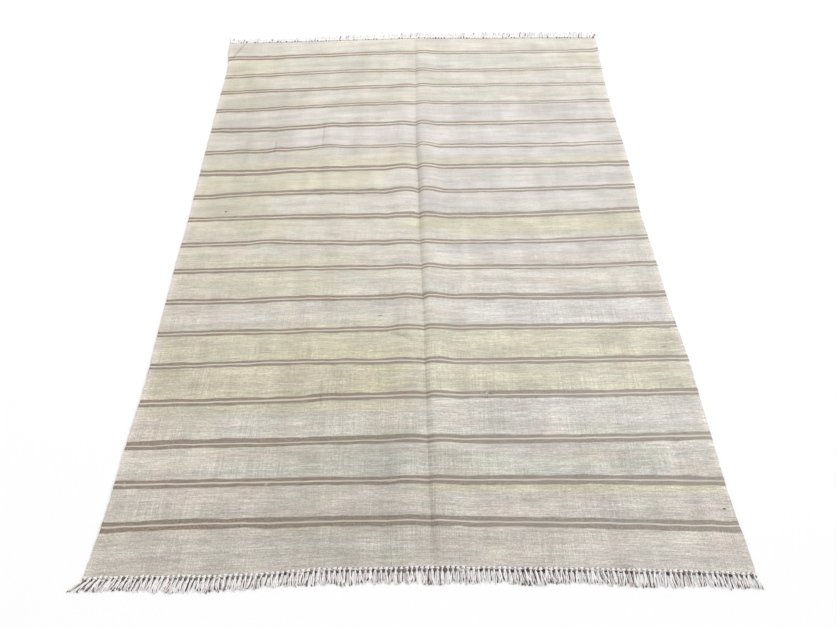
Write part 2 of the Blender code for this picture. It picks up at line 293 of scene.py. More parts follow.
STREAKS = (
    Streak(Tint.MOSS, -0.80, -0.48, 0.25, 0.75, 0.35),
    Streak(Tint.ROSE, -0.90, -0.80, 0.20, 0.80, 0.40),
    Streak(Tint.OLIVE, 0.28, 0.88, 0.10, 0.90, 0.12),
    Streak(Tint.OLIVE, -0.90, -0.64, 1.12, 1.95, 0.58),
    Streak(Tint.ROSE, -0.80, -0.55, 1.06, 1.22, 0.50),
    Streak(Tint.MOSS, -0.52, -0.03, 1.20, 1.90, 0.30),
    Streak(Tint.LILAC, 0.03, 0.30, 1.15, 1.75, 0.35),
    Streak(Tint.MOSS, 0.03, 0.66, 1.05, 1.85, 0.38),
    Streak(Tint.OLIVE, 0.62, 0.88, 1.20, 1.75, 0.40),
    Streak(Tint.OLIVE, -0.90, -0.66, 2.10, 2.95, 0.45),
    Streak(Tint.MOSS, -0.48, -0.02, 2.10, 2.90, 0.28),
    Streak(Tint.ROSE, 0.28, 0.36, 2.10, 2.90, 0.35),
    Streak(Tint.OLIVE, -0.80, -0.66, 3.05, 3.90, 0.35),
    Streak(Tint.MOSS, 0.12, 0.40, 3.10, 3.90, 0.35),
    Streak(Tint.OLIVE, -0.26, -0.17, 3.90, 4.08, 0.45),
    Streak(Tint.LILAC, -0.62, -0.10, 4.15, 4.85, 0.35),
    Streak(Tint.ROSE, 0.04, 0.20, 4.40, 4.90, 0.30),
    Streak(Tint.ROSE, 0.47, 0.78, 4.10, 4.50, 0.22),
    Streak(Tint.LILAC, -0.12, 0.88, 4.08, 4.92, 0.50),
    Streak(Tint.ROSE, -0.56, -0.02, 5.10, 5.90, 0.16),
    Streak(Tint.LILAC, -0.56, 0.88, 5.08, 5.92, 0.58),
    Streak(Tint.LILAC, -0.36, -0.18, 6.05, 6.40, 0.50),
    Streak(Tint.LILAC, 0.05, 0.88, 6.10, 6.55, 0.60),
    Streak(Tint.OLIVE, -0.90, -0.02, 6.55, 6.95, 0.42),
    Streak(Tint.OLIVE, 0.05, 0.88, 6.62, 6.95, 0.45),
    Streak(Tint.OLIVE, -0.90, -0.16, 7.15, 7.95, 0.50),
    Streak(Tint.LILAC, -0.15, 0.00, 7.35, 7.90, 0.50),
    Streak(Tint.LILAC, 0.02, 0.88, 7.10, 7.90, 0.45),
    Streak(Tint.OLIVE, -0.90, -0.56, 8.10, 9.00, 0.50),
    Streak(Tint.LILAC, -0.55, -0.06, 8.10, 8.80, 0.20),
    Streak(Tint.LILAC, -0.06, 0.88, 8.10, 8.80, 0.46),
    Streak(Tint.OLIVE, 0.18, 0.88, 9.05, 9.75, 0.60),
    Streak(Tint.OLIVE, -0.03, 0.18, 9.10, 9.60, 0.66),
    Streak(Tint.OLIVE, -0.90, -0.48, 9.05, 9.60, 0.48),
    Streak(Tint.ROSE, -0.42, -0.02, 9.40, 9.95, 0.30),
    Streak(Tint.ROSE, -0.90, -0.66, 8.10, 18.90, 0.26),
    Streak(Tint.OLIVE, -0.90, -0.62, 9.60, 10.90, 0.25),
    Streak(Tint.LILAC, 0.05, 0.75, 10.05, 10.55, 0.50),
    Streak(Tint.ROSE, 0.40, 0.88, 10.45, 10.95, 0.28),
    Streak(Tint.OLIVE, -0.90, -0.20, 10.50, 10.95, 0.35),
    Streak(Tint.OLIVE, -0.90, -0.25, 11.15, 11.85, 0.36),
    Streak(Tint.MOSS, -0.22, -0.02, 11.05, 11.60, 0.30),
    Streak(Tint.ROSE, -0.88, -0.62, 12.10, 12.60, 0.30),
    Streak(Tint.LILAC, -0.62, -0.44, 12.20, 12.70, 0.38),
    Streak(Tint.LILAC, 0.10, 0.88, 12.12, 12.88, 0.58),
    Streak(Tint.ROSE, 0.15, 0.88, 12.15, 12.85, 0.15),
    Streak(Tint.OLIVE, -0.90, 0.04, 12.80, 13.00, 0.30),
    Streak(Tint.OLIVE, -0.90, 0.02, 13.03, 13.98, 0.66),
    Streak(Tint.OLIVE, 0.02, 0.88, 13.08, 13.96, 0.50),
    Streak(Tint.MOSS, -0.15, 0.01, 13.05, 13.60, 0.22),
    Streak(Tint.OLIVE, -0.90, -0.03, 14.04, 14.98, 0.84),
    Streak(Tint.ROSE, -0.90, -0.20, 14.10, 14.90, 0.30),
    Streak(Tint.OLIVE, 0.02, 0.88, 14.08, 14.95, 0.46),
    Streak(Tint.OLIVE, -0.90, -0.04, 15.04, 15.30, 0.58),
    Streak(Tint.OLIVE, -0.90, -0.62, 15.30, 15.90, 0.25),
    Streak(Tint.LILAC, 0.02, 0.88, 15.08, 15.80, 0.28),
    Streak(Tint.MOSS, -0.55, 0.70, 16.48, 16.76, 0.50),
    Streak(Tint.MOSS, -0.30, 0.02, 16.20, 16.60, 0.38),
    Streak(Tint.ROSE, -0.90, -0.50, 16.05, 16.50, 0.22),
    Streak(Tint.OLIVE, 0.02, 0.88, 17.05, 17.30, 0.62),
    Streak(Tint.ROSE, -0.90, 0.02, 17.05, 17.95, 0.38),
    Streak(Tint.ROSE, 0.04, 0.88, 17.35, 17.95, 0.25),
    Streak(Tint.MOSS, -0.60, 0.00, 18.30, 18.80, 0.25),
    Streak(Tint.ROSE, -0.90, 0.88, 18.08, 18.98, 0.30),
)


class Shade(NamedTuple):
    """How light the ground is at a place counted in pairs, from the left edge to the right."""

    pair: float
    left: float
    inner_left: float
    inner_right: float
    right: float


SHADE_STATIONS = (-0.75, -0.12, 0.15, 0.80)
# Partly painted light: beside the wool's own tone, the ground darkens towards the near end as light falls off.
SHADES = (
    Shade(pair=0.5, left=0.99, inner_left=1.04, inner_right=1.04, right=0.995),
    Shade(pair=1.5, left=0.95, inner_left=0.98, inner_right=0.99, right=1.03),
    Shade(pair=5.5, left=0.905, inner_left=1.01, inner_right=0.99, right=0.985),
    Shade(pair=6.4, left=0.92, inner_left=0.96, inner_right=0.965, right=0.99),
    Shade(pair=7.5, left=0.965, inner_left=0.98, inner_right=0.98, right=1.005),
    Shade(pair=9.5, left=0.92, inner_left=0.96, inner_right=0.98, right=1.00),
    Shade(pair=12.5, left=0.905, inner_left=0.93, inner_right=0.97, right=0.99),
    Shade(pair=14.0, left=0.88, inner_left=0.88, inner_right=0.93, right=0.96),
    Shade(pair=15.5, left=0.895, inner_left=0.84, inner_right=0.92, right=0.985),
    Shade(pair=16.5, left=0.87, inner_left=0.76, inner_right=0.82, right=0.90),
    Shade(pair=17.5, left=0.83, inner_left=0.78, inner_right=0.84, right=0.88),
    Shade(pair=18.6, left=0.775, inner_left=0.73, inner_right=0.83, right=0.88),
)


class ShadeBand(NamedTuple):
    """A soft band down the cloth along an old fold's shallow wave, painted lighter or darker as its light and shade.
    """

    x: float
    near: float
    far: float
    width: float
    gain: float


SHADE_BANDS = (
    ShadeBand(x=0.175, near=-0.95, far=0.02, width=0.017, gain=0.055),
    ShadeBand(x=0.200, near=0.25, far=1.15, width=0.020, gain=-0.035),
    ShadeBand(x=0.322, near=-0.95, far=0.15, width=0.018, gain=-0.025),
    ShadeBand(x=0.412, near=-1.25, far=-0.12, width=0.022, gain=0.032),
    ShadeBand(x=0.425, near=0.33, far=0.88, width=0.018, gain=0.038),
    ShadeBand(x=0.715, near=-1.25, far=-0.35, width=0.018, gain=0.030),
    ShadeBand(x=-0.288, near=-1.00, far=-0.08, width=0.028, gain=-0.045),
    ShadeBand(x=-0.240, near=0.40, far=1.05, width=0.022, gain=-0.035),
    ShadeBand(x=-0.365, near=0.12, far=0.60, width=0.016, gain=-0.050),
    ShadeBand(x=-0.460, near=-0.85, far=0.60, width=0.030, gain=0.028),
    ShadeBand(x=-0.685, near=-0.90, far=0.95, width=0.024, gain=-0.040),
    ShadeBand(x=-0.725, near=-1.25, far=-0.95, width=0.020, gain=0.040),
)


class CreaseForm(Enum):
    """Whether a crease stands up as a soft ridge or lies as a trough between two low swells."""

    RIDGE = "ridge"
    TROUGH = "trough"


class Crease(NamedTuple):
    """A short crease in the cloth: its middle, length, heading, half width and height."""

    form: CreaseForm
    x: float
    y: float
    length: float
    heading: float
    width: float
    height: float


CREASES = (
    Crease(CreaseForm.TROUGH, -0.818, 1.143, 0.260, 70.0, 0.018, 0.0034),
    Crease(CreaseForm.TROUGH, -0.382, 0.530, 0.240, 90.0, 0.018, 0.0020),
    Crease(CreaseForm.TROUGH, -0.572, 0.450, 0.120, 88.0, 0.018, 0.0014),
    Crease(CreaseForm.TROUGH, -0.045, -0.505, 0.160, -24.0, 0.018, 0.0018),
    Crease(CreaseForm.RIDGE, -0.700, 0.900, 0.260, 118.0, 0.020, 0.0014),
    Crease(CreaseForm.RIDGE, -0.790, 0.640, 0.220, 112.0, 0.022, 0.0012),
    Crease(CreaseForm.RIDGE, -0.620, 0.800, 0.180, 115.0, 0.018, 0.0010),
    Crease(CreaseForm.TROUGH, -0.300, -0.700, 0.160, 92.0, 0.018, 0.0018),
    Crease(CreaseForm.RIDGE, -0.520, -0.820, 0.340, 93.0, 0.022, 0.0014),
    Crease(CreaseForm.RIDGE, -0.640, -0.300, 0.420, 97.0, 0.026, 0.0012),
    Crease(CreaseForm.RIDGE, 0.300, -0.350, 0.520, 88.0, 0.024, 0.0012),
    Crease(CreaseForm.RIDGE, 0.560, 0.150, 0.420, 91.0, 0.028, 0.0010),
    Crease(CreaseForm.RIDGE, 0.440, -0.650, 0.300, 90.0, 0.020, 0.0011),
    Crease(CreaseForm.RIDGE, 0.700, -0.900, 0.300, 84.0, 0.024, 0.0012),
)


class Crimp(NamedTuple):
    """A narrow line pressed into the cloth, finer than its mesh, and how much painted shade darkens it."""

    x: float
    y: float
    length: float
    heading: float
    width: float
    crease_shade: float


CRIMPS = (
    Crimp(x=-0.818, y=1.143, length=0.190, heading=70.0, width=0.011, crease_shade=0.19),
    Crimp(x=-0.382, y=0.530, length=0.200, heading=90.0, width=0.010, crease_shade=0.025),
    Crimp(x=-0.572, y=0.450, length=0.100, heading=88.0, width=0.010, crease_shade=0.02),
    Crimp(x=-0.050, y=-0.500, length=0.120, heading=-24.0, width=0.015, crease_shade=0.09),
    Crimp(x=-0.300, y=-0.700, length=0.120, heading=92.0, width=0.009, crease_shade=0.04),
)


class Ripple(NamedTuple):
    """A run of shallow waves across the rug: wavelength, height, sway along the rug and start."""

    length: float
    height: float
    sway: float
    start: float


RIPPLES = (
    Ripple(length=0.083, height=0.00055, sway=0.020, start=0.3),
    Ripple(length=0.061, height=0.00036, sway=0.014, start=2.1),
    Ripple(length=0.137, height=0.00060, sway=0.034, start=4.4),
)


class LooseYarn(NamedTuple):
    """A yarn end that lies on the cloth: its middle, length, heading, curl, width and colour."""

    x: float
    y: float
    length: float
    heading: float
    curl: float
    width: float
    dark: float


LOOSE_YARNS = (
    LooseYarn(x=0.040, y=-0.729, length=0.022, heading=20.0, curl=0.0040, width=0.0016, dark=0.0),
    LooseYarn(x=0.066, y=-0.733, length=0.018, heading=-35.0, curl=0.0035, width=0.0014, dark=0.5),
    LooseYarn(x=0.205, y=-0.711, length=0.026, heading=-30.0, curl=0.0060, width=0.0032, dark=0.0),
    LooseYarn(x=0.214, y=-0.716, length=0.022, heading=25.0, curl=0.0060, width=0.0026, dark=0.7),
    LooseYarn(x=0.212, y=-0.712, length=0.020, heading=75.0, curl=0.0050, width=0.0028, dark=0.0),
    LooseYarn(x=0.058, y=-0.593, length=0.016, heading=10.0, curl=0.0020, width=0.0018, dark=0.1),
    LooseYarn(x=-0.711, y=0.084, length=0.006, heading=40.0, curl=0.0008, width=0.0040, dark=0.9),
    LooseYarn(x=-0.123, y=-0.409, length=0.013, heading=4.0, curl=0.0008, width=0.0022, dark=0.9),
    LooseYarn(x=0.790, y=-0.544, length=0.014, heading=-30.0, curl=0.0030, width=0.0016, dark=0.7),
    LooseYarn(x=0.834, y=-1.080, length=0.007, heading=-20.0, curl=0.0010, width=0.0036, dark=0.9),
    LooseYarn(x=-0.825, y=-0.994, length=0.012, heading=50.0, curl=0.0045, width=0.0026, dark=0.0),
    LooseYarn(x=-0.428, y=-0.995, length=0.011, heading=15.0, curl=0.0040, width=0.0026, dark=0.0),
    LooseYarn(x=0.027, y=-1.020, length=0.012, heading=-60.0, curl=0.0030, width=0.0016, dark=0.0),
    LooseYarn(x=-0.076, y=-0.992, length=0.030, heading=1.0, curl=0.0006, width=0.0020, dark=0.0),
)


@dataclass(frozen=True)
class SmoothCurve:
    """A value that runs smoothly through the rows of a table and is level at each turn."""

    keys: tuple[float, ...]
    values: tuple[float, ...]

    @classmethod
    def through(cls, rows: Sequence[NamedTuple], key: str, column: str) -> SmoothCurve:
        """Take a curve from two columns of a table.

        Args:
            rows: The table's rows, in any order.
            key: The column that the curve is read by.
            column: The column of its values.

        Returns:
            The curve, sorted by its key.
        """
        ordered = sorted(rows, key=lambda row: getattr(row, key))
        keys = tuple(getattr(row, key) for row in ordered)
        return cls(keys, tuple(getattr(row, column) for row in ordered))

    def at(self, where: np.ndarray | float) -> np.ndarray:
        """Read the curve.

        Args:
            where: The keys to read it at. Past either end it keeps its last value.

        Returns:
            The values there.
        """
        keys = np.array(self.keys)
        values = np.array(self.values)
        slopes = np.diff(values) / np.diff(keys)
        turns = slopes[:-1] * slopes[1:] <= 0.0
        inner = np.where(turns, 0.0, 0.5 * (slopes[:-1] + slopes[1:]))
        tangents = np.concatenate((slopes[:1], inner, slopes[-1:]))
        where = np.clip(where, keys[0], keys[-1])
        first = np.clip(np.searchsorted(keys, where, side="right") - 1, 0, len(keys) - 2)
        span = keys[first + 1] - keys[first]
        t = (where - keys[first]) / span
        start = (2 * t**3 - 3 * t**2 + 1) * values[first]
        start += (t**3 - 2 * t**2 + t) * span * tangents[first]
        finish = (3 * t**2 - 2 * t**3) * values[first + 1]
        finish += (t**3 - t**2) * span * tangents[first + 1]
        return start + finish


def ease(value: np.ndarray, low: float, high: float) -> np.ndarray:
    """Return how far a value has come from low to high, from 0 to 1, with soft ends."""
    t = np.clip((value - low) / (high - low), 0.0, 1.0)
    return t * t * (3.0 - 2.0 * t)


def select_only(item: bpy.types.Object) -> None:
    """Make an object the only selected one, and the active one."""
    bpy.ops.object.select_all(action="DESELECT")
    item.select_set(True)
    bpy.context.view_layer.objects.active = item


def apply_modifiers(item: bpy.types.Object) -> None:
    """Apply an object's modifiers in their order."""
    select_only(item)
    for modifier in list(item.modifiers):
        bpy.ops.object.modifier_apply(modifier=modifier.name)


def read_points(mesh: bpy.types.Mesh) -> np.ndarray:
    """Return a mesh's points as rows of X, Y and Z."""
    flat = np.zeros(len(mesh.vertices) * 3)
    mesh.vertices.foreach_get("co", flat)
    return flat.reshape(-1, 3)


def write_points(mesh: bpy.types.Mesh, points: np.ndarray) -> None:
    """Give a mesh's points new places, as rows of X, Y and Z."""
    mesh.vertices.foreach_set("co", points.ravel())
    mesh.update()


def write_uv(mesh: bpy.types.Mesh, name: str, places: np.ndarray) -> None:
    """Store a UV map from one pair of coordinates a point.

    Args:
        mesh: The mesh that gets the map.
        name: The map's name.
        places: A row of U and V for each point.
    """
    corners = np.zeros(len(mesh.loops), np.int32)
    mesh.loops.foreach_get("vertex_index", corners)
    layer = mesh.uv_layers.get(name) or mesh.uv_layers.new(name=name)
    layer.uv.foreach_set("vector", places[corners].ravel())


def write_colors(mesh: bpy.types.Mesh, name: str, channels: Sequence[np.ndarray]) -> None:
    """Store four numbers a point as a colour attribute.

    Args:
        mesh: The mesh that gets the attribute.
        name: The attribute's name.
        channels: Its red, green, blue and alpha, each with one number a point.
    """
    layer = mesh.color_attributes.new(name=name, type="FLOAT_COLOR", domain="POINT")
    layer.data.foreach_set("color", np.stack(channels, axis=-1).ravel())


@dataclass
class RugLayout:
    """The rug's outline and fold on the floor, as the solids have them."""

    thickness: float = 0.003
    strip_width: float = 0.004
    level_end: float = 1.195
    left_crest: float = 0.050
    left_reach: float = 0.145
    right_crest: float = 0.024
    right_reach: float = 0.108
    shift: Vector = field(default_factory=Vector)

    def __post_init__(self) -> None:
        """Take the smooth curves from the tables."""
        self.side_left = SmoothCurve.through(SIDES, "y", "left")
        self.side_right = SmoothCurve.through(SIDES, "y", "right")
        self.fold_x = SmoothCurve.through(FOLD, "y", "x")
        self.fold_left = SmoothCurve.through(FOLD, "y", "left")
        self.fold_right = SmoothCurve.through(FOLD, "y", "right")

    def column_place(self, column: np.ndarray, y: np.ndarray) -> np.ndarray:
        """Find where columns of the cloth lie.

        Args:
            column: The share of the way from the fold to the left edge, -1, or to the right, 1.
            y: The place along the rug.

        Returns:
            The place across the rug.
        """
        fold = self.fold_x.at(y)
        side = np.where(column > 0.0, self.side_right.at(y), self.side_left.at(y))
        return fold + np.abs(column) * (side - fold)

    def end_points(self, column: np.ndarray, end: Sequence[End]) -> tuple[np.ndarray, np.ndarray]:
        """Find where columns of the cloth come to an end's edge.

        Args:
            column: The columns' shares, from -1 to 1.
            end: The end's table.

        Returns:
            Their places across and along the rug.
        """
        edge = SmoothCurve.through(end, "x", "edge")
        x = self.column_place(column, np.full_like(column, end[0].edge))
        for _ in range(3):
            y = edge.at(x)
            x = self.column_place(column, y)
        return x, y

    def lift(self, x: np.ndarray, y: np.ndarray) -> np.ndarray:
        """Find how high the cloth's underside is beside the fold.

        Args:
            x: The places across the rug.
            y: The places along it.

        Returns:
            The heights above the floor.
        """
        y = np.clip(y, -self.level_end, self.level_end)
        offset = x - self.fold_x.at(y)
        left = self.fold_left.at(y) * self.hump(-offset, self.left_crest, self.left_reach)
        right = self.fold_right.at(y) * self.hump(offset, self.right_crest, self.right_reach)
        return np.where(offset < 0.0, left, right)

    @staticmethod
    def hump(distance: np.ndarray, crest: float, reach: float) -> np.ndarray:
        """Return a hump's share of its height, from the valley out to where it meets the floor."""
        rise = np.sin(0.5 * math.pi * np.clip(distance / crest, 0.0, 1.0))
        fall = 0.5 + 0.5 * np.cos(math.pi * np.clip((distance - crest) / (reach - crest), 0.0, 1.0))
        return np.where(distance < crest, rise, fall)

    def fit_to(self, node: str) -> None:
        """Set the shift that lays this layout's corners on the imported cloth's box.

        Args:
            node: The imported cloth's name.
        """
        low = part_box(node)[0]
        corners = np.linspace(-1.0, 1.0, 401)
        near_x, near_y = self.end_points(corners, NEAR_END)
        inset = self.strip_width + 0.0003
        near_x = self.column_place(corners, near_y + inset)
        self.shift = Vector((low.x - near_x.min(), low.y - (near_y + inset).min(), 0.0))
        LOG.info("layout shift %.5f %.5f", self.shift.x, self.shift.y)


@dataclass
class Relief:
    """The low waves and creases of the worn cloth, over the humps beside its fold."""

    layout: RugLayout
    end_fade: float = 0.070
    drift: float = 0.9

    def height(self, x: np.ndarray, y: np.ndarray) -> np.ndarray:
        """Find how high the cloth's underside is.

        Args:
            x: The places across the rug.
            y: The places along it.

        Returns:
            The heights above the floor, never below it.
        """
        low = self.ripples(x, y)
        for crease in CREASES:
            low = low + self.crease(crease, x, y)
        far_from_ends = ease(1.225 - np.abs(y), 0.0, self.end_fade)
        return self.layout.lift(x, y) + low * far_from_ends

    def ripples(self, x: np.ndarray, y: np.ndarray) -> np.ndarray:
        """Return the height of the shallow waves that run along the rug."""
        total = np.zeros_like(x)
        for ripple in RIPPLES:
            sway = ripple.sway * np.sin(2.0 * math.pi * y / self.drift + ripple.start)
            wave = np.sin(2.0 * math.pi * (x + sway) / ripple.length + ripple.start)
            strength = 0.55 + 0.45 * np.sin(2.0 * math.pi * (y / 0.57 + x / 0.91) + ripple.start)
            total += ripple.height * strength * (1.0 + wave)
        return total

    @staticmethod
    def crease(crease: Crease, x: np.ndarray, y: np.ndarray) -> np.ndarray:
        """Return the height that one crease adds."""
        turn = math.radians(crease.heading)
        along = (x - crease.x) * math.cos(turn) + (y - crease.y) * math.sin(turn)
        across = (y - crease.y) * math.cos(turn) - (x - crease.x) * math.sin(turn)
        share = np.clip(2.0 * np.abs(along) / crease.length, 0.0, 1.0)
        window = 0.5 + 0.5 * np.cos(math.pi * share)
        reach = np.abs(across) / crease.width
        if crease.form is CreaseForm.RIDGE:
            return crease.height * window * np.exp(-reach * reach)
        return crease.height * window * reach * np.exp(1.0 - reach)


@dataclass
class StripePattern:
    """Where the pairs of weft lines run, and the coordinates that follow them."""

    layout: RugLayout
    period: float = 0.12
    zone: float = 0.022

    def __post_init__(self) -> None:
        """Give the far and near edges a row each, above pair 1 and below the last pair."""
        self.last = len(PAIRS)
        self.straight = np.array([1235] + [pair.inner_right for pair in PAIRS] + [-1235]) * MM

    def lines_at(self, x: np.ndarray) -> np.ndarray:
        """Find the far edge, the middles of all pairs and the near edge.

        Args:
            x: The places across the rug.

        Returns:
            Their places along the rug, a row for each.
        """
        rows = [SmoothCurve.through(FAR_END, "x", "edge").at(x)]
        for number, pair in enumerate(PAIRS, start=1):
            row = SmoothCurve(PAIR_STATIONS, tuple(MM * value for value in pair)).at(x)
            for jog in JOGS:
                if jog.pair == number:
                    row = row + jog.rise * np.exp(-(((x - jog.x) / jog.width) ** 2))
            rows.append(row)
        rows.append(SmoothCurve.through(NEAR_END, "x", "edge").at(x))
        return np.stack(rows)

    def count(self, x: np.ndarray, y: np.ndarray) -> tuple[np.ndarray, np.ndarray]:
        """Count places in pairs from the far end.

        Args:
            x: The places across the rug.
            y: The places along it.

        Returns:
            The count, where pair 1 is 1.0, and how far along the rug the places would lie if
            the weft ran straight.
        """
        rows = self.lines_at(x)
        count = np.zeros_like(x)
        straight = np.zeros_like(x)
        for index in range(len(rows) - 1):
            share = (rows[index] - y) / (rows[index] - rows[index + 1])
            here = (share >= 0.0) & (share <= 1.0)
            here |= (share < 0.0) & (index == 0)
            here |= (share > 1.0) & (index == len(rows) - 2)
            count = np.where(here, index + share, count)
            level = self.straight[index] + share * (self.straight[index + 1] - self.straight[index])
            straight = np.where(here, level, straight)
        return count, straight

    def pair_coordinate(self, x: np.ndarray, y: np.ndarray, count: np.ndarray) -> np.ndarray:
        """Find the coordinate that is a pair's number at its middle and true to size beside it.

        Args:
            x: The places across the rug.
            y: The places along it.
            count: The places counted in pairs.

        Returns:
            The coordinate. A step of 1 is the period, in metres, near a pair.
        """
        rows = self.lines_at(x)
        low = np.clip(np.floor(count).astype(int), 0, self.last)
        edge = self.zone / self.period
        index = np.arange(len(x))
        above = rows[low, index] - y
        below = y - rows[low + 1, index]
        gap = rows[low, index] - rows[low + 1, index]
        between = (above - self.zone) / (gap - 2.0 * self.zone)
        value = low + edge + np.clip(between, 0.0, 1.0) * (1.0 - 2.0 * edge)
        value = np.where(above < self.zone, low + above / self.period, value)
        value = np.where(below < self.zone, low + 1 - below / self.period, value)
        value = np.where(low == 0, np.maximum(1.0 - below / self.period, 1.0 - edge), value)
        return np.where(low == self.last, np.minimum(low + above / self.period, low + edge), value)

    def widths(self, x: np.ndarray, count: np.ndarray) -> list[np.ndarray]:
        """Find how wide the lines of the nearest pair are.

        Args:
            x: The places across the rug.
            count: The places counted in pairs.

        Returns:
            The upper line, the gap and the lower line in centimetres, and how dark they are.
        """
        nearest = np.clip(np.rint(count).astype(int), 1, self.last) - 1
        table = np.array(LINES, dtype=float)[nearest]
        upper = self.across(x, table[:, 0:4])
        lower = self.across(x, table[:, 6:10])
        gap = table[:, 4] + ease(x, -0.3, 0.3) * (table[:, 5] - table[:, 4])
        dark = table[:, 10] * (1.0 - 0.19 * ease(x, -0.85, 0.85))
        return [0.1 * upper, 0.1 * gap, 0.1 * lower, dark]

    @staticmethod
    def across(x: np.ndarray, values: np.ndarray) -> np.ndarray:
        """Blend the values given at the four line stations across the rug."""
        result = values[:, 0].copy()
        for index in range(3):
            share = ease(x, LINE_STATIONS[index], LINE_STATIONS[index + 1])
            result += share * (values[:, index + 1] - values[:, index])
        return result


@dataclass
class DyeChart:
    """How the ground's dye and soil change over the rug, and where light and shade are painted into it."""

    layout: RugLayout
    soft_across: float = 0.060
    soft_along: float = 0.10
    ragged: float = 0.035
    selvedge: float = 0.018
    end_pick: float = 0.004

    def tints(self, x: np.ndarray, count: np.ndarray) -> list[np.ndarray]:
        """Find how strongly each dye shows.

        Args:
            x: The places across the rug.
            count: The places counted in pairs.

        Returns:
            A strength from 0 to 1 for each Tint, in order.
        """
        found = [np.zeros_like(x) for _ in Tint]
        for number, streak in enumerate(STREAKS):
            wander = self.ragged * np.sin(count * 41.0 + number) + self.ragged * np.sin(count * 17.3 - number)
            across = ease(x - wander, streak.left - self.soft_across, streak.left + self.soft_across)
            across *= 1.0 - ease(x - wander, streak.right - self.soft_across, streak.right + self.soft_across)
            drift = 0.03 * np.sin(9.0 * x + 2.0 * number)
            along = ease(count + drift, streak.top - self.soft_along, streak.top + self.soft_along)
            along *= 1.0 - ease(count + drift, streak.bottom - self.soft_along, streak.bottom + self.soft_along)
            index = streak.tint.value
            found[index] = np.maximum(found[index], streak.strength * across * along)
        return found

    def state(self, x: np.ndarray, y: np.ndarray, count: np.ndarray) -> list[np.ndarray]:
        """Find how light and soiled the cloth is, with the light and shade painted into it.

        Args:
            x: The places across the rug.
            y: The places along it.
            count: The places counted in pairs.

        Returns:
            Half the lightness, which holds painted light and shade, the soil along the fold, which
            also paints shade into its valley, the paler selvedges and end picks, painted light at the
            far end, and how strongly the weave's grain shows.
        """
        # painted light: the lightness table, darker towards the near end
        columns = [SmoothCurve.through(SHADES, "pair", name).at(count) for name in Shade._fields[1:]]
        light = np.zeros_like(x)
        for index in range(len(SHADE_STATIONS) - 1):
            low, high = SHADE_STATIONS[index : index + 2]
            share = ease(x, low, high)
            here = (x >= low) | (index == 0)
            light = np.where(here, columns[index] + share * (columns[index + 1] - columns[index]), light)
        # painted light and shade: soft bands down the old folds
        for band in SHADE_BANDS:
            along = ease(y, band.near - 0.1, band.near + 0.1) * (1.0 - ease(y, band.far - 0.1, band.far + 0.1))
            light *= 1.0 + band.gain * along * np.exp(-(((x - band.x) / band.width) ** 2))
        # soil tint in the fold's narrow valley, which also paints shade there
        offset = x - self.layout.fold_x.at(y)
        along = ease(count, 5.0, 7.5) * (1.0 - 0.75 * ease(count, 13.5, 15.5))
        soil = (0.25 + 0.75 * along) * np.exp(-((offset / 0.009) ** 2))
        from_left = x - self.layout.side_left.at(y)
        from_right = self.layout.side_right.at(y) - x
        selvedge = np.exp(-((from_left / self.selvedge) ** 2)) + 0.8 * np.exp(-((from_right / self.selvedge) ** 2))
        from_near = y - SmoothCurve.through(NEAR_END, "x", "edge").at(x)
        selvedge = np.maximum(selvedge, 0.45 * np.exp(-((from_near / self.end_pick) ** 2)))
        # painted light: the far end's last picks are paler, lifting the shade where the rim bends down
        from_far = SmoothCurve.through(FAR_END, "x", "edge").at(x) - y
        selvedge = np.maximum(selvedge, 0.6 * np.exp(-((from_far / self.end_pick) ** 2)))
        grain = 0.45 + 0.55 * ease(count, 6.0, 15.5)
        return [0.5 * light, soil, selvedge, grain]


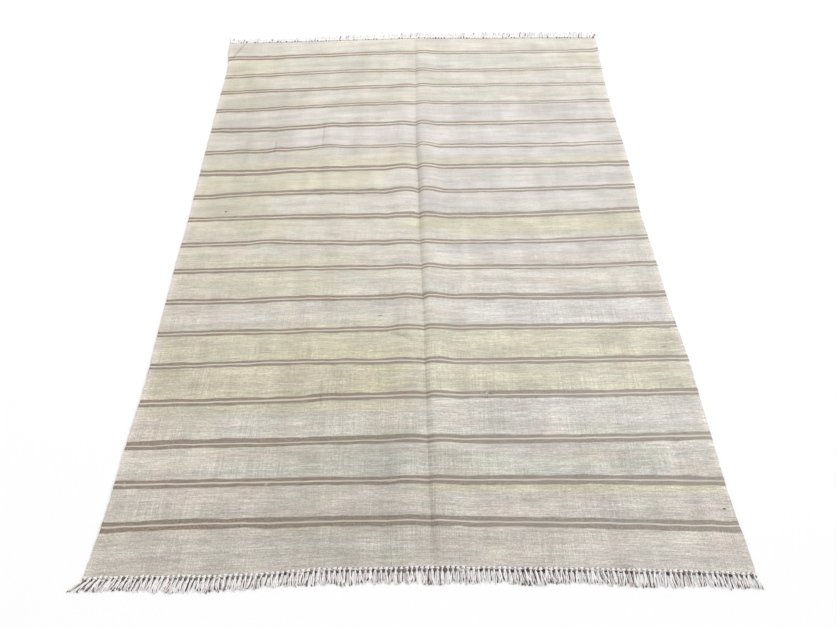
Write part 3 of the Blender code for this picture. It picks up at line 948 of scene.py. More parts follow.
class NodeBench:
    """Adds and joins the nodes of one material."""

    def __init__(self, name: str) -> None:
        """Start a material with a Principled BSDF.

        Args:
            name: The material's name.
        """
        self.material = bpy.data.materials.new(name)
        self.material.use_nodes = True
        self.tree = self.material.node_tree
        self.shader = self.tree.nodes["Principled BSDF"]

    def add(self, kind: str, **settings: object) -> bpy.types.Node:
        """Add a node and set its properties."""
        node = self.tree.nodes.new(kind)
        for name, value in settings.items():
            setattr(node, name, value)
        return node

    def feed(self, socket: bpy.types.NodeSocket, value: object) -> None:
        """Join an output to a socket, or set the socket to a constant."""
        if isinstance(value, bpy.types.NodeSocket):
            self.tree.links.new(value, socket)
        else:
            socket.default_value = value

    def math(self, operation: str, first: object, second: object = 0.0, third: object = 0.0) -> bpy.types.NodeSocket:
        """Add a Math node.

        Args:
            operation: Its operation.
            first: An output or a number.
            second: The second one, where the operation has it.
            third: The third one, where the operation has it.

        Returns:
            The node's output.
        """
        node = self.add("ShaderNodeMath", operation=operation)
        for socket, value in zip(node.inputs, (first, second, third)):
            self.feed(socket, value)
        return node.outputs[0]

    def blend(self, share: object, first: object, second: object, kind: str = "MIX") -> bpy.types.NodeSocket:
        """Add a colour Mix node.

        Args:
            share: How much of the second colour shows.
            first: The first colour, or an output.
            second: The second colour, or an output.
            kind: The blend type.

        Returns:
            The node's colour output.
        """
        node = self.add("ShaderNodeMix", data_type="RGBA", blend_type=kind)
        self.feed(node.inputs[0], share)
        self.feed(node.inputs[6], first)
        self.feed(node.inputs[7], second)
        return node.outputs[2]

    def noise(self, place: object, stretch: tuple[float, float], detail: float = 2.0) -> bpy.types.NodeSocket:
        """Add a noise that is stretched along the weft or the warp.

        Args:
            place: The coordinates that it reads.
            stretch: How many cells a metre it has across and along the rug.
            detail: How many finer layers it has.

        Returns:
            The noise, from 0 to 1.
        """
        scaled = self.add("ShaderNodeVectorMath", operation="MULTIPLY")
        self.feed(scaled.inputs[0], place)
        scaled.inputs[1].default_value = (stretch[0], stretch[1], 1.0)
        node = self.add("ShaderNodeTexNoise", noise_dimensions="2D")
        self.feed(node.inputs["Vector"], scaled.outputs[0])
        node.inputs["Scale"].default_value = 1.0
        node.inputs["Detail"].default_value = detail
        return node.outputs[0]

    def step(self, value: object, low: float, high: float, start: object = 0.0, end: object = 1.0) -> bpy.types.NodeSocket:
        """Add a soft step.

        Args:
            value: The output that it reads.
            low: Where the step starts.
            high: Where it is complete.
            start: What it gives below low.
            end: What it gives above high.

        Returns:
            The step's output.
        """
        node = self.add("ShaderNodeMapRange", interpolation_type="SMOOTHSTEP")
        for socket, number in zip(node.inputs, (value, low, high, start, end)):
            self.feed(socket, number)
        return node.outputs[0]

    def split(self, attribute: str) -> list[bpy.types.NodeSocket]:
        """Read a colour attribute.

        Args:
            attribute: Its name.

        Returns:
            Its red, green, blue and alpha outputs.
        """
        source = self.add("ShaderNodeAttribute", attribute_name=attribute)
        parts = self.add("ShaderNodeSeparateColor")
        self.feed(parts.inputs[0], source.outputs["Color"])
        return [*parts.outputs[:3], source.outputs["Alpha"]]

    def map_place(self, name: str) -> tuple[bpy.types.NodeSocket, bpy.types.NodeSocket, bpy.types.NodeSocket]:
        """Read a UV map.

        Args:
            name: Its name.

        Returns:
            The whole place, and its U and its V.
        """
        source = self.add("ShaderNodeUVMap", uv_map=name)
        parts = self.add("ShaderNodeSeparateXYZ")
        self.feed(parts.inputs[0], source.outputs[0])
        return source.outputs[0], parts.outputs[0], parts.outputs[1]


@dataclass(frozen=True)
class WoolFinish:
    """Faded hand-spun wool, woven flat, with narrow grey-brown lines."""

    ground: tuple[float, ...] = (0.690, 0.645, 0.562, 1.0)
    ground_right: tuple[float, ...] = (0.690, 0.659, 0.601, 1.0)
    olive: tuple[float, ...] = (0.678, 0.630, 0.440, 1.0)
    rose: tuple[float, ...] = (0.700, 0.610, 0.550, 1.0)
    moss: tuple[float, ...] = (0.655, 0.670, 0.570, 1.0)
    lilac: tuple[float, ...] = (0.680, 0.655, 0.640, 1.0)
    line: tuple[float, ...] = (0.330, 0.280, 0.224, 1.0)
    line_right: tuple[float, ...] = (0.314, 0.277, 0.237, 1.0)
    line_rose: tuple[float, ...] = (0.346, 0.268, 0.218, 1.0)
    cream: tuple[float, ...] = (0.790, 0.705, 0.612, 1.0)
    selvedge: tuple[float, ...] = (0.830, 0.770, 0.690, 1.0)
    # yellow-brown soil of the fold's valley, which also paints shade there
    soil: tuple[float, ...] = (0.480, 0.400, 0.260, 1.0)
    roughness: float = 0.92
    sheen: float = 0.12
    warp_pitch: float = 0.00335
    bead_pitch: float = 0.0025

    def make(self, pattern: StripePattern) -> bpy.types.Material:
        """Build the material.

        Args:
            pattern: The stripes whose coordinates it reads.

        Returns:
            The material.
        """
        bench = NodeBench("woven_wool")
        place, across, along = bench.map_place("weave")
        light, soil, selvedge, grain = bench.split("state")
        rightward = bench.step(across, -0.45, 0.65)
        ground = self.ground_color(bench, place, rightward, soil, selvedge)
        height = self.weave_height(bench, place, across, along)
        ground = bench.blend(1.0, ground, self.grain_color(bench, place, height, grain), "MULTIPLY")
        color = self.draw_lines(bench, pattern, place, rightward, ground)
        crease_shade, depth = self.crimp_marks(bench, pattern.layout.shift)
        # painted light and shade: the lightness and the crease lines' shade darken the colour
        light = bench.math("MULTIPLY", bench.math("MULTIPLY", light, 2.0), bench.math("SUBTRACT", 1.0, crease_shade))
        color = bench.blend(1.0, color, self.grey(bench, light), "MULTIPLY")
        bench.feed(bench.shader.inputs["Base Color"], color)
        bench.shader.inputs["Roughness"].default_value = self.roughness
        bench.shader.inputs["Sheen Weight"].default_value = self.sheen
        bench.shader.inputs["Specular IOR Level"].default_value = 0.25
        pressed = bench.add("ShaderNodeBump")
        pressed.inputs["Distance"].default_value = 0.0028
        bench.feed(pressed.inputs["Height"], bench.math("SUBTRACT", 0.0, depth))
        bump = bench.add("ShaderNodeBump")
        bench.feed(bump.inputs["Normal"], pressed.outputs[0])
        bench.feed(bump.inputs["Strength"], bench.math("MULTIPLY", grain, 0.50))
        bump.inputs["Distance"].default_value = 0.0007
        bench.feed(bump.inputs["Height"], height)
        bench.feed(bench.shader.inputs["Normal"], bump.outputs[0])
        return bench.material

    @staticmethod
    def crimp_marks(bench: NodeBench, shift: Vector) -> tuple[bpy.types.NodeSocket, bpy.types.NodeSocket]:
        """Draw the narrow lines pressed into the cloth, with painted shade along them.

        Args:
            bench: The material's bench.
            shift: How far the rug's sizes are moved to lie in the frame.

        Returns:
            How much painted shade darkens a place, and how deeply it is pressed, from 0 to 1.
        """
        place = bench.add("ShaderNodeTexCoord").outputs["Object"]
        crease_shade: object = 0.0
        depth: object = 0.0
        for crimp in CRIMPS:
            turn = math.radians(crimp.heading)
            from_middle = bench.add("ShaderNodeVectorMath", operation="SUBTRACT")
            bench.feed(from_middle.inputs[0], place)
            from_middle.inputs[1].default_value = (crimp.x + shift.x, crimp.y + shift.y, 0.0)
            distances = []
            for axis in ((math.cos(turn), math.sin(turn), 0.0), (-math.sin(turn), math.cos(turn), 0.0)):
                dot = bench.add("ShaderNodeVectorMath", operation="DOT_PRODUCT")
                bench.feed(dot.inputs[0], from_middle.outputs[0])
                dot.inputs[1].default_value = axis
                distances.append(bench.math("ABSOLUTE", dot.outputs["Value"]))
            ends = bench.step(distances[0], 0.22 * crimp.length, 0.5 * crimp.length, 1.0, 0.0)
            line = bench.step(distances[1], 0.0, crimp.width, 1.0, 0.0)
            mark = bench.math("MULTIPLY", ends, line)
            # painted shade: each crease line darkens the colour along it
            crease_shade = bench.math("MULTIPLY_ADD", mark, crimp.crease_shade, crease_shade)
            depth = bench.math("MAXIMUM", mark, depth)
        return crease_shade, depth

    @staticmethod
    def grey(bench: NodeBench, value: bpy.types.NodeSocket) -> bpy.types.NodeSocket:
        """Turn a number into a grey colour."""
        node = bench.add("ShaderNodeCombineColor")
        for socket in node.inputs:
            bench.feed(socket, value)
        return node.outputs[0]

    def ground_color(
        self,
        bench: NodeBench,
        place: bpy.types.NodeSocket,
        rightward: bpy.types.NodeSocket,
        soil: bpy.types.NodeSocket,
        selvedge: bpy.types.NodeSocket,
    ) -> bpy.types.NodeSocket:
        """Mix the ground's dyes, their soft patches and broad streaks.

        Args:
            bench: The material's bench.
            place: The place on the weave.
            rightward: How far to the right it is, from 0 to 1.
            soil: How soiled the cloth is along the fold, which also paints shade into its valley.
            selvedge: How near a selvedge or an end's last picks are; at the far end this paleness is painted light.

        Returns:
            The ground's colour.
        """
        bands = bench.noise(place, (2.2, 36.0), 2.0)
        cool = bench.noise(place, (7.0, 17.0), 2.0)
        yellow = bench.noise(place, (5.0, 13.0), 2.0)
        color = bench.blend(rightward, self.ground, self.ground_right)
        color = bench.blend(bench.step(cool, 0.50, 0.72, 0.0, 0.60), color, self.moss)
        color = bench.blend(bench.step(cool, 0.50, 0.28, 0.0, 0.60), color, self.rose)
        color = bench.blend(bench.step(yellow, 0.50, 0.72, 0.0, 0.15), color, self.olive)
        color = bench.blend(bench.step(yellow, 0.50, 0.28, 0.0, 0.30), color, self.lilac)
        tints = bench.split("tints")
        for source, dye in zip(tints, (self.olive, self.rose, self.moss, self.lilac)):
            uneven = bench.step(bands, 0.30, 0.70, 0.80, 1.15)
            color = bench.blend(bench.math("MULTIPLY", source, uneven), color, dye)
        # soil tint along the fold, also painted shade in its valley
        color = bench.blend(bench.math("MULTIPLY", soil, 0.13), color, self.soil)
        color = bench.blend(bench.math("MULTIPLY", selvedge, 0.85), color, self.selvedge)
        factors = (
            bench.step(bands, 0.30, 0.70, 0.935, 1.065),
            bench.step(bench.noise(place, (12.0, 3.5), 1.0), 0.30, 0.70, 0.960, 1.040),
            bench.step(bench.noise(place, (31.0, 9.0), 1.0), 0.30, 0.70, 0.985, 1.015),
            bench.step(bench.noise(place, (6.0, 14.0), 3.0), 0.30, 0.70, 0.94, 1.05),
        )
        for factor in factors:
            color = bench.blend(1.0, color, self.grey(bench, factor), "MULTIPLY")
        return color

    def grain_color(
        self,
        bench: NodeBench,
        place: bpy.types.NodeSocket,
        height: bpy.types.NodeSocket,
        grain: bpy.types.NodeSocket,
    ) -> bpy.types.NodeSocket:
        """Shade the uneven yarns of the weft and the grooves between them.

        Args:
            bench: The material's bench.
            place: The place on the weave.
            height: The weave's height.
            grain: How strongly the grain shows.

        Returns:
            A grey near white that the colours are multiplied by.
        """
        patches = bench.step(bench.noise(place, (7.0, 9.0), 1.0), 0.42, 0.60, 0.25, 1.0)
        warps = bench.step(bench.noise(place, (330.0, 8.0), 1.0), 0.25, 0.75, -0.10, 0.10)
        warps = bench.math("MULTIPLY", warps, bench.math("MULTIPLY", patches, grain))
        factors = (
            bench.math("ADD", warps, 1.0),
            bench.step(bench.noise(place, (6.0, 130.0), 3.0), 0.25, 0.75, 0.93, 1.07),
            bench.step(bench.noise(place, (18.0, 300.0), 2.0), 0.25, 0.75, 0.87, 1.12),
            bench.step(bench.noise(place, (70.0, 260.0), 2.0), 0.25, 0.75, 0.91, 1.09),
            bench.step(bench.noise(place, (230.0, 420.0), 1.0), 0.25, 0.75, 0.83, 1.16),
            # painted shade: the low grooves of the weave are darker
            bench.step(height, 0.05, 0.75, 0.86, 1.03),
        )
        shade: object = 1.0
        for factor in factors:
            shade = bench.math("MULTIPLY", factor, shade)
        return bench.blend(grain, (0.97, 0.97, 0.97, 1.0), self.grey(bench, shade))

    def draw_lines(
        self,
        bench: NodeBench,
        pattern: StripePattern,
        place: bpy.types.NodeSocket,
        rightward: bpy.types.NodeSocket,
        ground: bpy.types.NodeSocket,
    ) -> bpy.types.NodeSocket:
        """Weave the pairs of dark lines and the pale gaps between them into the ground.

        Args:
            bench: The material's bench.
            pattern: The stripes' sizes.
            place: The place on the weave.
            rightward: How far to the right it is, from 0 to 1.
            ground: The ground's colour.

        Returns:
            The cloth's colour.
        """
        _, across, pair = bench.map_place("pairs")
        turned = bench.math("FRACT", bench.math("ADD", pair, 0.5))
        distance = bench.math("MULTIPLY", bench.math("SUBTRACT", turned, 0.5), pattern.period / 0.01)
        comb = bench.math("SINE", bench.math("MULTIPLY", across, math.pi / self.warp_pitch))
        toothed = bench.step(bench.noise(place, (8.0, 12.0), 1.0), 0.45, 0.62, 0.05, 0.16)
        distance = bench.math("MULTIPLY_ADD", comb, toothed, distance)
        wander = bench.math("SUBTRACT", bench.noise(place, (16.0, 60.0), 3.0), 0.5)
        distance = bench.math("MULTIPLY_ADD", wander, 0.50, distance)
        upper, gap, lower, dark = bench.split("lines")
        swell = bench.math("SUBTRACT", bench.noise(place, (10.0, 5.0), 2.0), 0.5)
        upper = bench.math("MULTIPLY_ADD", swell, 0.75, upper)
        swell = bench.math("SUBTRACT", bench.noise(place, (13.0, 4.0), 2.0), 0.5)
        lower = bench.math("MULTIPLY_ADD", swell, 0.75, lower)
        half = bench.math("MULTIPLY", gap, 0.5)
        in_upper = self.band(bench, bench.math("MULTIPLY", distance, -1.0), half, upper)
        in_lower = self.band(bench, distance, half, lower)
        in_gap = bench.math("LESS_THAN", bench.math("ABSOLUTE", distance), half)
        fibres = bench.noise(place, (30.0, 500.0), 2.0)
        reddish = bench.step(bench.noise(place, (6.0, 45.0), 2.0), 0.45, 0.70)
        line = bench.blend(rightward, self.line, self.line_right)
        reddish = bench.math("MULTIPLY", reddish, bench.math("MULTIPLY_ADD", rightward, -0.6, 1.0))
        line = bench.blend(reddish, line, self.line_rose)
        specks = bench.step(bench.noise(place, (190.0, 230.0), 1.0), 0.28, 0.72, 0.80, 1.24)
        streaky = bench.math("MULTIPLY", specks, bench.step(fibres, 0.25, 0.75, 0.88, 1.14))
        line = bench.blend(1.0, line, self.grey(bench, streaky), "MULTIPLY")
        shown = bench.math("MULTIPLY", bench.math("MAXIMUM", in_upper, in_lower), dark)
        color = bench.blend(bench.math("MULTIPLY", in_gap, 0.85), ground, self.cream)
        return bench.blend(shown, color, line)

    @staticmethod
    def band(
        bench: NodeBench,
        distance: bpy.types.NodeSocket,
        start: bpy.types.NodeSocket,
        width: bpy.types.NodeSocket,
    ) -> bpy.types.NodeSocket:
        """Mark a soft-edged band.

        Args:
            bench: The material's bench.
            distance: The distance from the pair's middle, in centimetres.
            start: Where the band starts.
            width: How wide it is.

        Returns:
            1 inside the band and 0 outside it.
        """
        inside = bench.math("SUBTRACT", distance, start)
        rise = bench.step(inside, -0.03, 0.05)
        left_over = bench.math("SUBTRACT", width, inside)
        fall = bench.step(left_over, -0.04, 0.06)
        return bench.math("MULTIPLY", rise, fall)

    def weave_height(
        self,
        bench: NodeBench,
        place: bpy.types.NodeSocket,
        across: bpy.types.NodeSocket,
        along: bpy.types.NodeSocket,
    ) -> bpy.types.NodeSocket:
        """Raise the weft's beads in ribs over the warps, each rib half a bead off the next.

        Args:
            bench: The material's bench.
            place: The place on the weave.
            across: Its part across the rug.
            along: Its part along the rug.

        Returns:
            The height, from 0 to about 1.
        """
        sway = bench.math("SUBTRACT", bench.noise(place, (14.0, 22.0), 2.0), 0.5)
        across = bench.math("MULTIPLY_ADD", sway, 0.0022, across)
        along = bench.math("MULTIPLY_ADD", sway, 0.0060, along)
        warp = bench.math("DIVIDE", across, self.warp_pitch)
        rib = bench.math("ABSOLUTE", bench.math("COSINE", bench.math("MULTIPLY", warp, math.pi)))
        number = bench.math("FLOOR", bench.math("ADD", warp, 0.5))
        odd = bench.math("ABSOLUTE", bench.math("MODULO", number, 2.0))
        row = bench.math("DIVIDE", along, self.bead_pitch)
        row = bench.math("MULTIPLY_ADD", odd, 0.5, row)
        bead = bench.math("ABSOLUTE", bench.math("SINE", bench.math("MULTIPLY", row, math.pi)))
        body = bench.math("MULTIPLY_ADD", bead, 0.45, 0.55)
        fuzz = bench.noise(place, (420.0, 900.0), 3.0)
        raised = bench.math("MULTIPLY", bench.math("POWER", rib, 0.6), body)
        return bench.math("MULTIPLY_ADD", fuzz, 0.35, raised)


@dataclass(frozen=True)
class YarnFinish:
    """Plied cotton or wool yarn, off-white, with a little soil at the tips."""

    name: str
    pale: tuple[float, ...] = (0.985, 0.960, 0.955, 1.0)
    warm: tuple[float, ...] = (0.620, 0.545, 0.520, 1.0)
    dark: tuple[float, ...] = (0.055, 0.038, 0.032, 1.0)
    roughness: float = 0.88
    sheen: float = 0.15
    ply_pitch: float = 0.0055

    def make(self) -> bpy.types.Material:
        """Build the material, which reads each strand's own UV map and tone."""
        bench = NodeBench(self.name)
        place, around, along = bench.map_place("yarn")
        tone, soil, dark, _ = bench.split("tone")
        fibres = bench.noise(place, (9.0, 900.0), 3.0)
        color = bench.blend(tone, self.pale, self.warm)
        soiled = bench.math("MULTIPLY", soil, bench.step(along, 0.012, 0.045, 0.0, 0.16))
        color = bench.blend(soiled, color, self.warm)
        color = bench.blend(dark, color, self.dark)
        turn = bench.math("MULTIPLY_ADD", around, 2.0, bench.math("DIVIDE", along, self.ply_pitch))
        ply = bench.math("ABSOLUTE", bench.math("SINE", bench.math("MULTIPLY", turn, math.pi)))
        # painted shade in the grooves between the plies, times the fibres' own tone
        shade = bench.math("MULTIPLY", bench.step(ply, 0.0, 0.6, 0.91, 1.0), bench.step(fibres, 0.3, 0.7, 0.95, 1.05))
        color = bench.blend(1.0, color, WoolFinish.grey(bench, shade), "MULTIPLY")
        bench.feed(bench.shader.inputs["Base Color"], color)
        bench.shader.inputs["Roughness"].default_value = self.roughness
        bench.shader.inputs["Sheen Weight"].default_value = self.sheen
        bench.shader.inputs["Specular IOR Level"].default_value = 0.25
        bump = bench.add("ShaderNodeBump")
        bump.inputs["Strength"].default_value = 0.6
        bump.inputs["Distance"].default_value = 0.0006
        bench.feed(bump.inputs["Height"], bench.math("MULTIPLY_ADD", fibres, 0.25, ply))
        bench.feed(bench.shader.inputs["Normal"], bump.outputs[0])
        return bench.material


@dataclass
class WovenSheet:
    """Draws a stretch of the weave as a thin sheet and gives it the weave's coordinates."""

    layout: RugLayout
    relief: Relief
    pattern: StripePattern
    dyes: DyeChart
    rim: float = 0.0011

    def draw(self, name: str, x: np.ndarray, y: np.ndarray, rim: np.ndarray) -> bpy.types.Object:
        """Draw a sheet from a grid of places and give it its thickness.

        Args:
            name: The piece's name.
            x: The places across the rug, a row for each row of the grid.
            y: The places along it, in the same order.
            rim: True at the points whose edges are rounded over.

        Returns:
            The sheet, in its final place.
        """
        rows, columns = x.shape
        bpy.ops.object.select_all(action="DESELECT")
        bpy.ops.mesh.primitive_grid_add(x_subdivisions=columns - 1, y_subdivisions=rows - 1, size=1.0)
        sheet = bpy.context.active_object
        sheet.name = name
        mesh = sheet.data
        mesh.name = name
        grid = read_points(mesh)
        column = np.rint((grid[:, 0] + 0.5) * (columns - 1)).astype(int)
        row = np.rint((grid[:, 1] + 0.5) * (rows - 1)).astype(int)
        px, py = x[row, column], y[row, column]
        self.mark(mesh, px, py)
        edge = mesh.attributes.new("rim", "FLOAT", "POINT")
        edge.data.foreach_set("value", rim[row, column].astype(float))
        height = self.relief.height(px, py)
        write_points(mesh, np.stack((px + self.layout.shift.x, py + self.layout.shift.y, height), axis=-1))
        wall = sheet.modifiers.new("Thickness", "SOLIDIFY")
        wall.thickness = self.layout.thickness
        wall.offset = 1.0
        apply_modifiers(sheet)
        self.round_rim(sheet)
        bpy.ops.object.shade_smooth_by_angle(angle=math.radians(45.0))
        return sheet

    def mark(self, mesh: bpy.types.Mesh, x: np.ndarray, y: np.ndarray) -> None:
        """Store the weave's coordinates, lines, dyes and wear on a mesh.

        Args:
            mesh: The sheet's mesh.
            x: Its points' places across the rug.
            y: Their places along it.
        """
        count, straight = self.pattern.count(x, y)
        pair = self.pattern.pair_coordinate(x, y, count)
        write_uv(mesh, "weave", np.stack((x, straight), axis=-1))
        write_uv(mesh, "pairs", np.stack((x, pair), axis=-1))
        write_colors(mesh, "lines", self.pattern.widths(x, count))
        write_colors(mesh, "tints", self.dyes.tints(x, count))
        write_colors(mesh, "state", self.dyes.state(x, y, count))

    def round_rim(self, sheet: bpy.types.Object) -> None:
        """Round the long edges of the sheet's rim.

        Args:
            sheet: The sheet, with its thickness.
        """
        mesh = sheet.data
        marked = np.zeros(len(mesh.vertices))
        mesh.attributes["rim"].data.foreach_get("value", marked)
        points = read_points(mesh)
        select_only(sheet)
        bpy.ops.object.mode_set(mode="EDIT")
        bpy.ops.mesh.select_mode(type="EDGE")
        bpy.ops.mesh.select_all(action="DESELECT")
        bpy.ops.object.mode_set(mode="OBJECT")
        faces_on_edge = np.zeros(len(mesh.edges), int)
        for edge in mesh.edges:
            first, second = edge.vertices
            if marked[first] < 0.5 or marked[second] < 0.5:
                continue
            flat = abs(points[first][2] - points[second][2]) < 0.5 * self.layout.thickness
            edge.select = bool(flat)
            faces_on_edge[edge.index] = flat
        bpy.ops.object.mode_set(mode="EDIT")
        bpy.ops.mesh.bevel(offset=self.rim, segments=2, affect="EDGES", clamp_overlap=True)
        bpy.ops.object.mode_set(mode="OBJECT")
        LOG.info("%s: rounded %d rim edges", sheet.name, faces_on_edge.sum())


@dataclass
class Cloth:
    """The woven cloth, with its humps beside the fold, its low waves and its stripes."""

    sheet: WovenSheet
    finish: bpy.types.Material
    left_steps: tuple[tuple[float, int], ...] = ((0.030, 9), (0.060, 5), (0.150, 11))
    outer_columns: int = 61
    rows: int = 236

    def columns(self) -> np.ndarray:
        """Return the columns' shares of the way from the fold to the sides, -1 to 1."""
        distances = [0.0]
        for reach, count in self.left_steps:
            distances += list(np.linspace(distances[-1], reach, count + 1)[1:])
        side = 0.86
        distances += list(np.linspace(distances[-1], side, self.outer_columns + 1)[1:])
        shares = np.array(distances) / side
        return np.concatenate((-shares[:0:-1], shares))

    def build(self) -> bpy.types.Object:
        """Build the cloth and set it in the frame.

        Returns:
            The finished piece.
        """
        layout = self.sheet.layout
        columns = self.columns()
        _, near = layout.end_points(columns, NEAR_END)
        _, far = layout.end_points(columns, FAR_END)
        near = near + layout.strip_width
        far = far - layout.strip_width
        share = np.linspace(0.0, 1.0, self.rows + 1)[:, None]
        y = near + (far - near) * share
        x = layout.column_place(np.broadcast_to(columns, y.shape), y)
        fray = random.Random(5)
        jitter = np.array([[fray.uniform(-1.0, 1.0) for _ in range(2)] for _ in range(self.rows + 1)])
        jitter[[0, -1]] = 0.0
        x[:, 0] += 0.0011 * jitter[:, 0]
        x[:, -1] += 0.0008 * jitter[:, 1]
        rim = np.zeros(x.shape, bool)
        rim[:, [0, -1]] = True
        cloth = self.sheet.draw("kilim_cloth", x, y, rim)
        cloth.data.materials.append(self.finish)
        strips = 0.5 * (x[1:, 1:] - x[1:, :-1] + x[:-1, 1:] - x[:-1, :-1]) * (y[1:, 1:] - y[:-1, 1:])
        area = float(strips.sum())
        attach(cloth, "root")
        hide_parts("rug_cloth")
        LOG.info("kilim_cloth: %d faces, flat area %.3f m2", len(cloth.data.polygons), area)
        self.flat = (float((x[:, -1] - x[:, 0]).max()), float((far - near).max()))
        self.area = area
        return cloth


@dataclass
class Yarns:
    """Models one plied strand and one knot, and lays copies of them along paths."""

    sides: int = 6
    flatness: float = 0.66
    turn: float = 48.0
    knot_yarn: float = 0.019
    sections: tuple[float, ...] = (0.0, 0.07, 0.13, 0.20, 0.29, 0.39, 0.50, 0.61, 0.72, 0.82, 0.92, 1.0)

    def strand(self, name: str, copies: int) -> bpy.types.Object:
        """Model a straight strand one unit wide with a step between sections, in a row of copies.

        Args:
            name: The piece's name.
            copies: How many strands there are.

        Returns:
            The row, whose sections lie one unit apart in Z.
        """
        bpy.ops.object.select_all(action="DESELECT")
        bpy.ops.mesh.primitive_circle_add(vertices=self.sides, radius=0.5, fill_type="NGON")
        strand = bpy.context.active_object
        strand.name = name
        strand.data.name = name
        bpy.ops.object.mode_set(mode="EDIT")
        bpy.ops.mesh.select_all(action="SELECT")
        bpy.ops.transform.resize(value=(1.0, self.flatness, 1.0), center_override=(0.0, 0.0, 0.0))
        for _ in range(len(self.sections) - 1):
            bpy.ops.mesh.extrude_region_move(TRANSFORM_OT_translate={"value": (0.0, 0.0, 1.0)})
            bpy.ops.transform.rotate(
                value=math.radians(self.turn), orient_axis="Z", center_override=(0.0, 0.0, 0.0)
            )
        bpy.ops.mesh.select_all(action="SELECT")
        bpy.ops.mesh.normals_make_consistent(inside=False)
        bpy.ops.object.mode_set(mode="OBJECT")
        self.wrap_uv(strand.data)
        self.template = read_points(strand.data)
        row = strand.modifiers.new("Row", "ARRAY")
        row.count = copies
        row.use_relative_offset = False
        row.use_constant_offset = True
        row.constant_offset_displace = (2.0, 0.0, 0.0)
        apply_modifiers(strand)
        bpy.ops.object.shade_smooth()
        return strand

    def wrap_uv(self, mesh: bpy.types.Mesh) -> None:
        """Give a strand a UV map: once around in U, and the section's number in V."""
        layer = mesh.uv_layers.get("yarn") or mesh.uv_layers.new(name="yarn")
        for face in mesh.polygons:
            corners = [mesh.loops[index] for index in face.loop_indices]
            points = [mesh.vertices[corner.vertex_index].co for corner in corners]
            turns = []
            for point in points:
                untwisted = math.atan2(point.y, point.x) - math.radians(self.turn) * point.z
                turns.append((untwisted / (2.0 * math.pi)) % 1.0)
            if max(turns) - min(turns) > 0.5:
                turns = [turn + 1.0 if turn < 0.5 else turn for turn in turns]
            for index, turn, point in zip(face.loop_indices, turns, points):
                layer.uv[index].vector = (turn, point.z)

    def lay(self, strands: bpy.types.Object, paths: np.ndarray, widths: np.ndarray) -> None:
        """Lay each copy of the strand along its own path.

        Args:
            strands: The row of copies.
            paths: Each strand's points, one for each section.
            widths: Each strand's width at each section.
        """
        mesh = strands.data
        section = np.rint(self.template[:, 2]).astype(int)
        ahead = np.gradient(paths, axis=1)
        ahead /= np.linalg.norm(ahead, axis=2, keepdims=True)
        upward = np.array((0.0, 0.0, 1.0))
        across = np.cross(ahead, upward)
        across /= np.linalg.norm(across, axis=2, keepdims=True)
        top = np.cross(across, ahead)
        local_x = self.template[:, 0][None, :, None]
        local_y = self.template[:, 1][None, :, None]
        size = widths[:, section, None]
        points = paths[:, section] + size * (local_x * across[:, section] + local_y * top[:, section])
        points[..., 2] = np.maximum(points[..., 2], 0.0)
        write_points(mesh, points.reshape(-1, 3))
        steps = np.linalg.norm(np.diff(paths, axis=1), axis=2)
        travelled = np.concatenate((np.zeros((len(paths), 1)), np.cumsum(steps, axis=1)), axis=1)
        uv = np.zeros(len(mesh.loops) * 2)
        layer = mesh.uv_layers["yarn"]
        layer.uv.foreach_get("vector", uv)
        uv = uv.reshape(len(paths), -1, 2)
        stop = np.rint(uv[..., 1]).astype(int)
        uv[..., 1] = np.take_along_axis(travelled, stop, axis=1)
        layer.uv.foreach_set("vector", uv.ravel())

    def knot(self, name: str, copies: int) -> bpy.types.Object:
        """Model one overhand knot from two crossing turns of yarn, in a row of copies.

        Args:
            name: The piece's name.
            copies: How many knots there are.

        Returns:
            The row. Each knot is about one unit across, around its strands along Y.
        """
        bpy.ops.object.select_all(action="DESELECT")
        turns = []
        for tilt, height in ((24.0, 0.10), (-30.0, -0.06)):
            bpy.ops.mesh.primitive_torus_add(
                major_segments=9, minor_segments=5, major_radius=0.33, minor_radius=0.19,
                location=(0.0, height, 0.0), rotation=(math.radians(90.0), 0.0, math.radians(tilt)),
            )
            turns.append(bpy.context.active_object)
        for turn in turns:
            turn.select_set(True)
        bpy.context.view_layer.objects.active = turns[0]
        bpy.ops.object.join()
        knot = bpy.context.active_object
        bpy.ops.object.transform_apply(location=True, rotation=True, scale=True)
        knot.name = name
        knot.data.name = name
        points = read_points(knot.data)
        points[:, 2] *= 0.78
        write_points(knot.data, points)
        layer = knot.data.uv_layers.get("UVMap")
        layer.name = "yarn"
        for corner in layer.uv:
            around_turn, around_yarn = corner.vector
            corner.vector = (around_yarn, self.knot_yarn * around_turn)
        self.knot_template = points
        row = knot.modifiers.new("Row", "ARRAY")
        row.count = copies
        row.use_relative_offset = False
        row.use_constant_offset = True
        row.constant_offset_displace = (2.0, 0.0, 0.0)
        apply_modifiers(knot)
        bpy.ops.object.shade_smooth()
        return knot

    def seat_knots(self, knots: bpy.types.Object, places: np.ndarray, sizes: np.ndarray, turns: np.ndarray) -> None:
        """Put each copy of the knot in its place.

        Args:
            knots: The row of copies.
            places: Each knot's middle.
            sizes: Each knot's width, length and height.
            turns: How far each knot is turned about Z, in radians.
        """
        local = self.knot_template[None] * sizes[:, None, :]
        cos, sin = np.cos(turns)[:, None], np.sin(turns)[:, None]
        x = local[..., 0] * cos - local[..., 1] * sin
        y = local[..., 0] * sin + local[..., 1] * cos
        points = np.stack((x, y, local[..., 2]), axis=-1) + places[:, None, :]
        points[..., 2] = np.maximum(points[..., 2], 0.0)
        write_points(knots.data, points.reshape(-1, 3))


